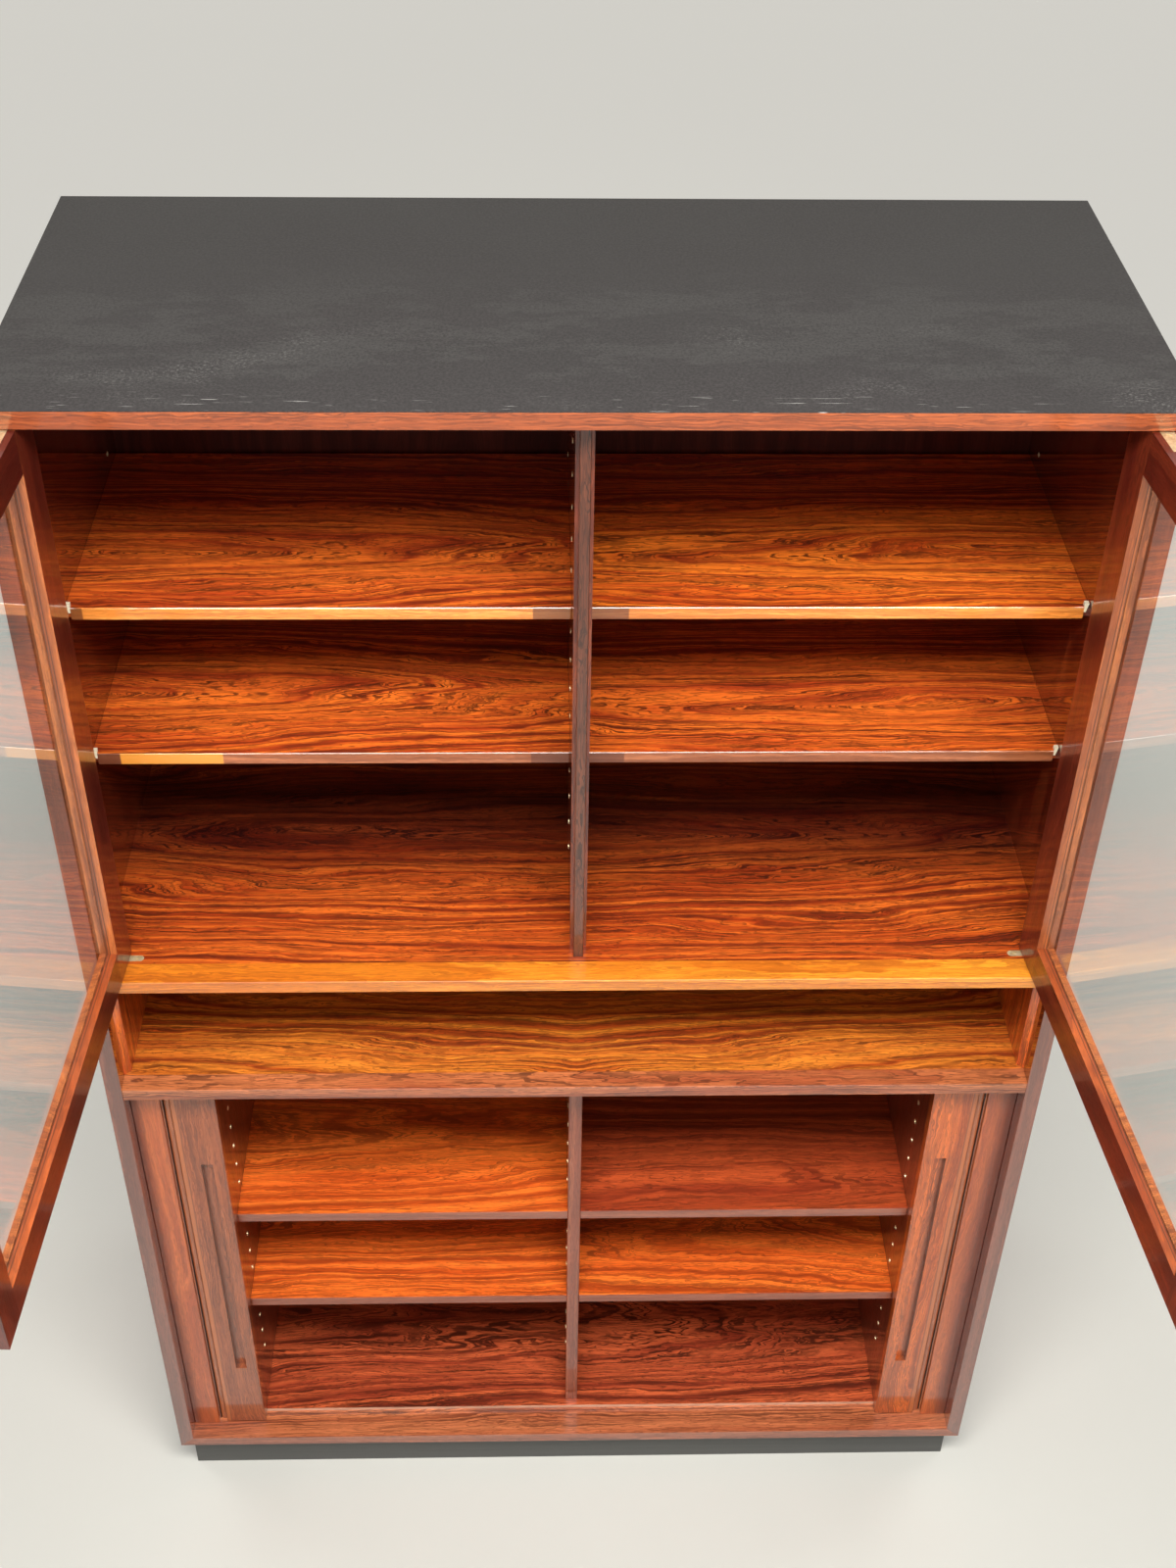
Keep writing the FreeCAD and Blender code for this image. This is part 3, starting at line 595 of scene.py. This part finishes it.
# Shelves: eight loose boards, four in each case, cut square with a lipped front edge.
# Veneered board with grain along the shelf, a close fit at both ends; the upper high pair has a golden lipping.
def open_copy(node, name):
    """Copy a CAD node's mesh into a new piece, weld its seams and leave it open for editing."""
    bpy.ops.object.select_all(action="DESELECT")
    piece = bpy.data.objects.new(name, frame["nodes"][node].data.copy())
    bpy.context.scene.collection.objects.link(piece)
    bpy.context.view_layer.objects.active = piece
    piece.select_set(True)
    bpy.ops.object.mode_set(mode="EDIT")
    bpy.ops.mesh.select_all(action="SELECT")
    bpy.ops.mesh.remove_doubles(threshold=0.00001)
    return piece


upper_edge = -0.1062
lower_edge = -0.2002
end_reach = 0.0008
brown = (0.12, 0.032, 0.016, 1)
golden = (0.90, 0.36, 0.045, 1)
golden_lip = ((0.36, 0.09, 0.016, 1), (0.80, 0.250, 0.036, 1), (1.00, 0.400, 0.085, 1))
brown_lip = ((0.08, 0.025, 0.012, 1), (0.30, 0.085, 0.030, 1), (0.50, 0.170, 0.070, 1))
lower_lip = ((0.08, 0.020, 0.011, 1), (0.23, 0.056, 0.027, 1), (0.34, 0.094, 0.046, 1))
shelf_figures = {
    "upper_shelf_left_high": ((0.34, -0.015, -1.516), 0.03, 0.14, 400, 0.09, 0.9),
    "upper_shelf_right_high": ((-0.25, -0.010, -1.516), 0.04, -0.10, 400, 0.09, 0.9),
    "upper_shelf_left_low": ((0.50, -0.02, -1.307), 0.03, 0.12, 400, 0.09, 0.9),
    "upper_shelf_right_low": ((-0.30, 0.01, -1.307), 0.02, -0.11, 390, 0.09, 0.9),
    "lower_shelf_left_high": ((0.20, 0.05, -0.557), 0.08, 0.05, 330, 0.08, 0.6),
    "lower_shelf_right_high": ((-0.60, 0.15, -0.557), 0.10, 0.04, 330, 0.06, 0.65),
    "lower_shelf_left_low": ((0.90, 0.02, -0.362), 0.05, 0.05, 340, 0.08, 0.65),
    "lower_shelf_right_low": ((-0.80, 0.08, -0.362), 0.06, -0.05, 340, 0.08, 0.65),
}
for name, (shift, heart, lean, bands, swirl, ink) in shelf_figures.items():
    upper = name.startswith("upper")
    red, gold = (0.68, 0.098, 0.012, 1), (1.0, 0.205, 0.026, 1)
    if upper:
        red, gold = rose_red, rose_gold
    if name == "upper_shelf_right_high":
        red, gold = (0.60, 0.078, 0.010, 1), (1.00, 0.240, 0.022, 1)
    if name == "lower_shelf_right_high":
        red, gold = (0.33, 0.042, 0.013, 1), (0.54, 0.088, 0.022, 1)
    veneer = rosewood(name + "_rosewood", shift=shift, heart=heart, lean=lean, bands=bands, swirl=swirl, ink=ink,
                      red=red, gold=gold, lacquer=0.3 if name.endswith("low") else 0.8)
    if name == "upper_shelf_left_high":
        lengths = [(-0.60, -0.561, brown), (-0.054, 0.0, brown)]
    elif name == "upper_shelf_left_low":
        lengths = [(-0.60, -0.547, brown), (-0.547, -0.425, golden), (-0.057, 0.0, brown)]
    else:
        lengths = [(0.0, 0.055, brown)]
    if upper and name.endswith("high"):
        lipped(veneer, upper_edge, *golden_lip, lengths, ink=0.6)
    elif upper:
        lipped(veneer, upper_edge, *brown_lip, lengths)
    else:
        lipped(veneer, lower_edge, *lower_lip)
    board = open_copy(name, name + "_board")
    low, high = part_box(name)
    for end, way in ((low.x, -1), (high.x, 1)):
        pick(board, lambda middle, normal: abs(middle.x - end) < 0.0002 and abs(normal.x) > 0.9)
        bpy.ops.transform.translate(value=(way * end_reach, 0, 0))
    bpy.ops.object.mode_set(mode="OBJECT")
    cover(board, veneer, "cabinet")
    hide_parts(name)


# Shelf pins: four under each shelf, pushed into the sockets at the level wanted.
# Turned brass pegs with a rounded tip and a small collar that stops against the socket.
pin_radius = 0.0024
shank_length = 0.0060
collar, collar_flare = 0.0008, 1.45
peg_length, peg_share = 0.0077, 0.69
tip_round = 0.0010
bpy.ops.object.select_all(action="DESELECT")
bpy.ops.mesh.primitive_cylinder_add(vertices=12, radius=pin_radius, depth=shank_length,
                                    location=(0, 0, -shank_length / 2))
pin = begin("pin_model")
pick(pin, lambda middle, normal: normal.z > 0.9)
bpy.ops.mesh.extrude_region_move()
bpy.ops.transform.resize(value=(collar_flare, collar_flare, 1.0))
bpy.ops.mesh.extrude_region_move(TRANSFORM_OT_translate={"value": (0, 0, collar)})
bpy.ops.mesh.extrude_region_move()
bpy.ops.transform.resize(value=(peg_share, peg_share, 1.0))
bpy.ops.mesh.extrude_region_move(TRANSFORM_OT_translate={"value": (0, 0, peg_length)})
bpy.ops.mesh.bevel(offset=tip_round, segments=2, affect="EDGES")
bpy.ops.object.mode_set(mode="OBJECT")
places = [place for case in pin_rows for face, setback, place in pin_places(case, shelf_steps)]
pins = copies(pin, places, "turned_shelf_pins")
cover(pins, brass, "cabinet")
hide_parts("shelf_pins")
drop(pin)


# Shelf end clips: small tapered wedges between the upper shelves' outer front corners and the sides.
# Moulded ivory plastic, yellowed a little, pressed in by hand to keep the shelf from rattling.
ivory, tree, shader, place = new_finish("aged_ivory_plastic")
aged = cloud(tree, place, (90.0, 90.0, 90.0), 3.0).outputs[0]
tree.links.new(tint(tree, aged, (0.84, 0.74, 0.50, 1), (0.95, 0.90, 0.72, 1)), shader.inputs["Base Color"])
tree.links.new(scaled(tree, aged, 0.2, 0.30), shader.inputs["Roughness"])
dress(ivory, "shelf_end_clips")


# Tambour lead stiles: the wide front boards of both curtains, with a long finger pull routed in each.
# Solid rosewood with swirling upright grain; the first slat behind each one is a paler length.
rim_from, rim_to, seam_to = 0.5250, 0.5265, 0.5280
pull_floor, pull_reach = (-0.2278, -0.2270), (0.4940, 0.5030)
rim_wood, seam_dark, pull_painted_shade_colour = (0.52, 0.150, 0.044, 1), (0.12, 0.030, 0.014, 1), (0.10, 0.028, 0.014, 1)
first_slat_x, first_slat_edge = 0.5356, (0.0032, 0.0042)
slat_shadow = (0.03, 0.008, 0.005, 1)
lead_colours = {"left": ((0.31, 0.070, 0.021, 1), (0.45, 0.114, 0.036, 1)),
                "right": ((0.50, 0.086, 0.013, 1), (0.74, 0.157, 0.023, 1))}
for side, sign in (("left", -1), ("right", 1)):
    lead_red, lead_gold = lead_colours[side]
    lead_wood = rosewood(side + "_lead_rosewood", upright_front, (-0.45, -0.49 * sign, 0.21), heart=0.012,
                         lean=0.03 * sign, bands=420, swirl=0.09, ink=0.65, dark=(0.09, 0.024, 0.010, 1),
                         red=lead_red, gold=lead_gold)
    tree = lead_wood.node_tree
    x, y = where(tree)[:2]
    wander = cloud(tree, own_place(tree), (1.0, 1.0, 5.0)).outputs[0]
    reach = maths(tree, "ADD", maths(tree, "ABSOLUTE", x), times(tree, wander, 0.006))
    rim = ease(tree, reach, rim_from, rim_to)
    recolour(lead_wood, times(tree, rim, 0.75), rim_wood)
    seam = times(tree, rim, ease(tree, reach, seam_to, rim_to))
    recolour(lead_wood, times(tree, seam, 0.7), seam_dark)
    # Painted shade: the groove is darkened inside, most towards its outer wall.
    pull_painted_shade_mask = times(tree, ease(tree, y, *pull_floor), ease(tree, maths(tree, "ABSOLUTE", x), *pull_reach))
    recolour(lead_wood, times(tree, pull_painted_shade_mask, 0.8), pull_painted_shade_colour)
    dress(lead_wood, side + "_tambour_lead")
    slat_wood = rosewood(side + "_first_slat_rosewood", upright_front, (-0.2, -0.53 * sign, 0.22), heart=0.02,
                         bands=380, swirl=0.03, ink=0.3, dark=(0.16, 0.044, 0.020, 1),
                         red=(0.36, 0.090, 0.031, 1), gold=(0.50, 0.145, 0.047, 1))
    tree = slat_wood.node_tree
    off = maths(tree, "SUBTRACT", maths(tree, "ABSOLUTE", where(tree)[0]), first_slat_x)
    recolour(slat_wood, ease(tree, maths(tree, "ABSOLUTE", off), *first_slat_edge), slat_shadow)
    dress(slat_wood, side + "_tambour_first_slat")


# Tambour curtains: narrow slats that follow each lead stile across the front and round into the side pocket.
# Solid rosewood slats with rounded faces, glued to canvas; drawn out, the front run closes the lower case.
travel = 0.471
slat_pitch = 0.009
lead_edge = 0.5305
first_gap = 0.0006
run_start = lead_edge - travel + first_gap
front_slats = 54
slat_width, slat_thick, slat_height = 0.0084, 0.0080, 0.771
slat_y, slat_z = -0.2185, 0.4745
slat_round, slat_edge = 0.0024, (0.22, 0.44)
canvas_y, canvas_thick = -0.2140, 0.0008
packed_far = 0.5560
packed_near = 0.5489
pocket_mouth, corner_y = 0.5565, -0.19
canvas_cloth, tree, shader, place = new_finish("glued_canvas")
warp = put(tree, "ShaderNodeTexWave", {"Vector": place, "Scale": 220.0, "Distortion": 1.0}, bands_direction="Z")
weft = put(tree, "ShaderNodeTexWave", {"Vector": place, "Scale": 220.0, "Distortion": 1.0}, bands_direction="X")
weave = times(tree, warp.outputs["Fac"], weft.outputs["Fac"])
tree.links.new(tint(tree, weave, (0.26, 0.20, 0.13, 1), (0.50, 0.42, 0.30, 1)), shader.inputs["Base Color"])
emboss(tree, shader, weave, strength=0.4, distance=0.0003)
shader.inputs["Roughness"].default_value = 0.9


def note_places(piece):
    """Keep each point's present place as an attribute, for the grain to follow."""
    unrolled = piece.data.attributes.new("unrolled", "FLOAT_VECTOR", "POINT")
    for i, vertex in enumerate(piece.data.vertices):
        unrolled.data[i].vector = vertex.co


def pack_away(piece, sign):
    """Note where each point lies on the drawn-out curtain, then push the run together behind the post."""
    note_places(piece)
    for vertex in piece.data.vertices:
        drawn = abs(vertex.co.x)
        if drawn + travel < packed_near:
            vertex.co.x = sign * (drawn + travel)
            continue
        stored = packed_far
        for attempt in range(6):
            share = min(max((stored - drawn) / travel, 0.0), 1.0)
            step = 0.5 - math.sin(math.asin(1 - 2 * share) / 3)
            stored = packed_far - step * (packed_far - packed_near)
        vertex.co.x = sign * stored


for side, sign in (("left", -1), ("right", 1)):
    first = run_start + 1.5 * slat_pitch
    bpy.ops.object.select_all(action="DESELECT")
    bpy.ops.mesh.primitive_cube_add(size=1, location=(sign * first, slat_y, slat_z),
                                    scale=(slat_width, slat_thick, slat_height))
    run = begin(side + "_tambour_front_run")
    pick(run, lambda middle, way: abs(way.z) > 0.9 and middle.y < slat_y, "EDGE")
    bpy.ops.mesh.bevel(offset=slat_round, segments=3, affect="EDGES")
    bpy.ops.object.mode_set(mode="OBJECT")
    rows = run.modifiers.new("rows", "ARRAY")
    rows.count = front_slats
    rows.use_relative_offset = False
    rows.use_constant_offset = True
    rows.constant_offset_displace = (sign * slat_pitch, 0, 0)
    bpy.ops.object.modifier_apply(modifier="rows")
    bpy.ops.object.shade_smooth_by_angle(angle=0.6)
    pack_away(run, sign)
    slat_wood = rosewood(side + "_slat_rosewood", upright_front, (0.1, 0.3 * sign, 0.22), heart=0.02,
                         lean=0.01, bands=300, swirl=0.06, ink=0.5, red=(0.46, 0.105, 0.024, 1),
                         gold=(0.72, 0.215, 0.052, 1), source="unrolled")
    tree = slat_wood.node_tree
    laid = put(tree, "ShaderNodeAttribute", attribute_name="unrolled").outputs["Vector"]
    x = maths(tree, "ABSOLUTE", put(tree, "ShaderNodeSeparateXYZ", {0: laid}).outputs[0])
    count = maths(tree, "DIVIDE", maths(tree, "SUBTRACT", x, run_start), slat_pitch)
    off = maths(tree, "ABSOLUTE", maths(tree, "SUBTRACT", maths(tree, "FRACT", count), 0.5))
    recolour(slat_wood, ease(tree, off, *slat_edge), slat_shadow)
    run.data.materials.append(slat_wood)
    far = (sign * packed_far, slat_y, slat_z)
    near = (sign * packed_near, slat_y, slat_z)
    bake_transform(run)

    bpy.ops.object.select_all(action="DESELECT")
    width = (front_slats + 1) * slat_pitch
    bpy.ops.mesh.primitive_cube_add(size=1, location=(sign * (run_start + width / 2), canvas_y, slat_z),
                                    scale=(width, canvas_thick, slat_height))
    cloth = begin(side + "_tambour_front_canvas")
    for i in range(1, front_slats + 2):
        cut_x = run_start + i * slat_pitch - 0.00001
        bpy.ops.mesh.select_all(action="SELECT")
        bpy.ops.mesh.bisect(plane_co=(sign * cut_x, 0, 0), plane_no=(1, 0, 0))
    bpy.ops.object.mode_set(mode="OBJECT")
    pack_away(cloth, sign)
    cloth.data.materials.append(canvas_cloth)
    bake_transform(cloth)

    for node, label, wood, kind in (("slats", "stored_slats", slat_wood, "rosewood_upright"),
                                    ("canvas", "stored_canvas", canvas_cloth, "canvas")):
        stored = open_copy(side + "_tambour_" + node, side + "_tambour_" + label)
        if node == "slats":
            pick(stored, lambda middle, normal: abs(middle.x) < pocket_mouth and middle.y < corner_y)
            bpy.ops.mesh.select_linked()
            bpy.ops.mesh.delete(type="FACE")
        else:
            bpy.ops.mesh.bisect(plane_co=(sign * (pocket_mouth + 0.001), -0.21, 0), plane_no=(sign, 0.35, 0),
                                use_fill=True, clear_inner=True)
        bpy.ops.object.mode_set(mode="OBJECT")
        note_places(stored)
        cover(stored, wood, "cabinet")
        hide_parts(side + "_tambour_" + node)


# Hinge plates: the case halves of the doors' knife hinges, let flush into the upper floor and the top.
# Stamped brass with a raised pin; two slotted countersunk screws hold each plate.
dress(brass, "hinge_case_plates")
screw = slotted_screw("hinge_screw_model", 0.0027)
pivot_x = 0.5665
pivot_y = -0.214
floor_plate_z, top_plate_z = 1.0721, 1.8249
places = []
for sign in (-1, 1):
    for reach, turn in ((0.0135, 0.5), (0.0245, 1.9)):
        x = sign * (pivot_x - reach)
        places.append(Matrix.Translation((x, pivot_y, floor_plate_z)) @ Matrix.Rotation(turn * sign, 4, "Z"))
        places.append(Matrix.Translation((x, pivot_y, top_plate_z)) @ Matrix.Rotation(math.pi, 4, "X")
                      @ Matrix.Rotation(turn, 4, "Z"))
cover(copies(screw, places, "hinge_plate_screws"), brass, "cabinet")


# Glazed doors: stiles and rails round one sheet of clear glass, held in its rebate by mitred beads.
# Solid rosewood, glossy inside and out; brass leaves are let into the top and bottom edges and screwed.
def clear_glass(name):
    """Clear sheet glass with a faint green cast, which lets the lamps' light through."""
    finish, tree, shader, place = new_finish(name)
    smear = cloud(tree, place, (6.0, 6.0, 2.0), 3.0).outputs[0]
    tree.links.new(times(tree, ease(tree, smear, 0.45, 0.8), 0.06), shader.inputs["Roughness"])
    shader.inputs["Base Color"].default_value = (0.95, 0.98, 0.965, 1)
    shader.inputs["IOR"].default_value = 1.5
    shader.inputs["Transmission Weight"].default_value = 1.0
    passing = put(tree, "ShaderNodeBsdfTransparent", {"Color": (0.90, 0.93, 0.91, 1)})
    shadow = put(tree, "ShaderNodeLightPath").outputs["Is Shadow Ray"]
    either = put(tree, "ShaderNodeMixShader", {0: shadow, 1: shader.outputs[0], 2: passing.outputs[0]})
    tree.links.new(either.outputs[0], tree.nodes["Material Output"].inputs["Surface"])
    return finish


def from_pivot(tree, sign, way):
    """Distance of a point from a door's pivot, measured along this direction in plan."""
    x, y = where(tree)[:2]
    return maths(tree, "ADD", times(tree, maths(tree, "SUBTRACT", x, sign * pivot_x), way.x),
                 times(tree, maths(tree, "SUBTRACT", y, pivot_y), way.y))


def lip(finish, share, wood, sign, inward):
    """Show paler wood on the lip that holds the glass, painted light where the lip catches the lamp, with two fine
    lines scribed along it.
    """
    tree = finish.node_tree
    second_wood(finish, share, *wood, ink=0.4)
    depth = from_pivot(tree, sign, inward)
    for scribed in scribed_depths:
        off = maths(tree, "ABSOLUTE", maths(tree, "SUBTRACT", depth, scribed))
        line = times(tree, share, ease(tree, off, *scribed_width))
        recolour(finish, times(tree, line, 0.85), scribed_dark)


scribed_depths, scribed_width = (0.0088, 0.0057), (0.0008, 0.0003)
scribed_dark = (0.05, 0.012, 0.006, 1)
glass = clear_glass("clear_glass")
frame_colours = {"left": ((0.080, 0.009, 0.006, 1), (0.155, 0.022, 0.010, 1)),
                 "right": ((0.115, 0.013, 0.007, 1), (0.215, 0.032, 0.012, 1))}
# Painted light: the lips that hold the glass get paler wood than the rest of the frame.
lip_painted_light = ((0.09, 0.021, 0.007, 1), (0.30, 0.070, 0.018, 1), (0.48, 0.132, 0.034, 1))
stile_lip = 0.0407
rail_lip = 1.1197
leaf_top_z, leaf_foot_z = 1.8231, 1.0739
leaf_middle = 0.00225
# Painted light: the bottom rail's lip gets paler wood than the rest of the rail.
rail_lip_painted_light = ((0.08, 0.013, 0.004, 1), (0.25, 0.043, 0.009, 1), (0.44, 0.094, 0.018, 1))
for side, sign, degrees in (("left", -1, 93.1), ("right", 1, 95.3)):
    door = side + "_door_"
    door_red, door_gold = frame_colours[side]
    swung = Vector((-sign * math.cos(math.radians(degrees)), -math.sin(math.radians(degrees)), 0))
    inward = Vector((-sign * math.sin(math.radians(degrees)), math.cos(math.radians(degrees)), 0))
    for part, offset in (("hinge_stile", 0.25), ("meeting_stile", 0.70)):
        stile = rosewood(door + part + "_rosewood", upright_side, (-1.4, offset, 0.57 * sign), heart=0.03,
                         lean=0.01, bands=320, ink=0.7, red=door_red, gold=door_gold, lacquer=0.9)
        if part == "hinge_stile":
            tree = stile.node_tree
            along = from_pivot(tree, sign, swung)
            lip(stile, ease(tree, along, stile_lip - 0.0005, stile_lip), lip_painted_light, sign, inward)
        dress(stile, door + part)
    for part, level in (("top_rail", -1.80), ("bottom_rail", -1.09)):
        rail = rosewood(door + part + "_rosewood", along_y, (0.4 * sign, 0.59 * sign, level), heart=0.02,
                        lean=0.01, bands=320, ink=0.7, red=door_red, gold=door_gold, lacquer=0.45)
        if part == "bottom_rail":
            tree = rail.node_tree
            lip(rail, ease(tree, where(tree)[2], rail_lip - 0.0005, rail_lip), rail_lip_painted_light, sign, inward)
        dress(rail, door + part)
    dress(rosewood(door + "bead_rosewood", upright_side, (-1.4, 0.4, 0.57 * sign), heart=0.03, bands=400,
                   swirl=0.03, ink=0.7, red=(0.40, 0.100, 0.028, 1), gold=(0.62, 0.190, 0.052, 1)), door + "beads")
    dress(glass, door + "glass")
    dress(brass, door + "hinge_leaves")
    places = []
    for k, reach in enumerate((0.024, 0.047, 0.070)):
        spot = Vector((sign * pivot_x, pivot_y, 0)) + swung * reach + inward * leaf_middle
        places.append(Matrix.Translation((spot.x, spot.y, leaf_top_z)) @ Matrix.Rotation(0.8 * k + 0.3, 4, "Z"))
        places.append(Matrix.Translation((spot.x, spot.y, leaf_foot_z)) @ Matrix.Rotation(math.pi, 4, "X")
                      @ Matrix.Rotation(1.1 * k, 4, "Z"))
    cover(copies(screw, places, door + "leaf_screws"), brass, side + "_door")
drop(screw)


# Studio: a wide pale floor, a pale room all round, one soft lamp high in front and three weak fills.
# The floor is smooth grey-white; the camera looks down from above eye height, just in front.
def seen_plainly(tree):
    """One where the camera sees a thing, straight or through glass and gloss; zero for the light it sheds."""
    rays = put(tree, "ShaderNodeLightPath").outputs
    return maths(tree, "MAXIMUM", maths(tree, "MAXIMUM", rays["Is Camera Ray"], rays["Is Glossy Ray"]),
                 rays["Is Transmission Ray"])


def soft_lamp(name, sizes, energy, colour, spot, aim):
    """Add a rectangular lamp at a spot, facing along the aim."""
    lamp = bpy.data.lights.new(name, "AREA")
    lamp.shape = "RECTANGLE"
    lamp.size, lamp.size_y = sizes
    lamp.energy = energy
    lamp.color = colour
    stand = bpy.data.objects.new(name, lamp)
    bpy.context.scene.collection.objects.link(stand)
    stand.location = spot
    stand.rotation_euler = Vector(aim).to_track_quat("-Z", "Y").to_euler()
    return stand


bpy.ops.object.select_all(action="DESELECT")
bpy.ops.mesh.primitive_plane_add(size=60, location=(0, 0, 0))
ground = bpy.context.object
ground.name = "studio_floor"
pale, tree, shader, place = new_finish("pale_floor")
mottle = cloud(tree, place, (1.3, 1.3, 1.3), 4.0, 0.6).outputs[0]
fine = cloud(tree, place, (60.0, 60.0, 60.0), 3.0).outputs[0]
tree.links.new(tint(tree, mottle, (0.49, 0.495, 0.462, 1), (0.53, 0.535, 0.500, 1)), shader.inputs["Base Color"])
tree.links.new(scaled(tree, fine, 0.2, 0.45), shader.inputs["Roughness"])
y = where(tree)[1]
near = times(tree, ease(tree, y, -1.0, 0.1), 0.15)
far = times(tree, ease(tree, y, 0.3, 3.2), 0.31)
away = put(tree, "ShaderNodeVectorMath", {0: place, 1: (0.0, -0.8, 0.0)}, operation="DISTANCE").outputs["Value"]
front = times(tree, ease(tree, away, 1.4, 4.0), ease(tree, y, 0.6, -0.4))
front = times(tree, front, 0.50)
glow = maths(tree, "ADD", maths(tree, "ADD", near, far), maths(tree, "ADD", front, 0.05))
glow = times(tree, seen_plainly(tree), glow)
shader.inputs["Emission Color"].default_value = (1.0, 0.97, 0.90, 1)
tree.links.new(glow, shader.inputs["Emission Strength"])
ground.data.materials.append(pale)

room = bpy.data.worlds.new("pale_room")
bpy.context.scene.world = room
room.use_nodes = True
tree = room.node_tree
sky = tint(tree, seen_plainly(tree), (0.12, 0.12, 0.12, 1), (0.68, 0.665, 0.61, 1))
tree.links.new(sky, tree.nodes["Background"].inputs["Color"])

soft_lamp("key_lamp", sizes=(1.8, 0.8), energy=136, colour=(1.0, 0.97, 0.93), spot=(0.05, -1.45, 3.05),
          aim=(0.0, -0.20, -0.98))
for side, spot, aim, energy in (("left", (-2.8, 1.6, 1.75), (2.4, -1.6, -0.75), 34),
                                ("right", (2.8, 1.6, 1.75), (-2.4, -1.6, -0.75), 34),
                                ("front", (0.0, -2.7, 1.25), (0.0, 1.0, -0.05), 18)):
    fill = soft_lamp(side + "_fill_lamp", sizes=(1.6, 1.2), energy=energy, colour=(1.0, 0.98, 0.95), spot=spot,
                     aim=aim)
    fill.visible_camera = False
    fill.visible_glossy = False
    fill.visible_transmission = False

lens = bpy.data.cameras.new("photo_camera")
lens.lens = 44.43
lens.sensor_width = 36
lens.clip_start = 0.05
lens.clip_end = 100
camera = bpy.data.objects.new("photo_camera", lens)
bpy.context.scene.collection.objects.link(camera)
eye = (-0.0497, -1.9252, 2.7497)
heading, dip, roll = -0.0339, 0.6867, 0.0180
camera.matrix_world = (Matrix.Translation(eye) @ Matrix.Rotation(heading, 4, "Z")
                       @ Matrix.Rotation(math.pi / 2 - dip, 4, "X") @ Matrix.Rotation(roll, 4, "Z"))
bpy.context.scene.camera = camera
bpy.context.scene.view_settings.view_transform = "Standard"
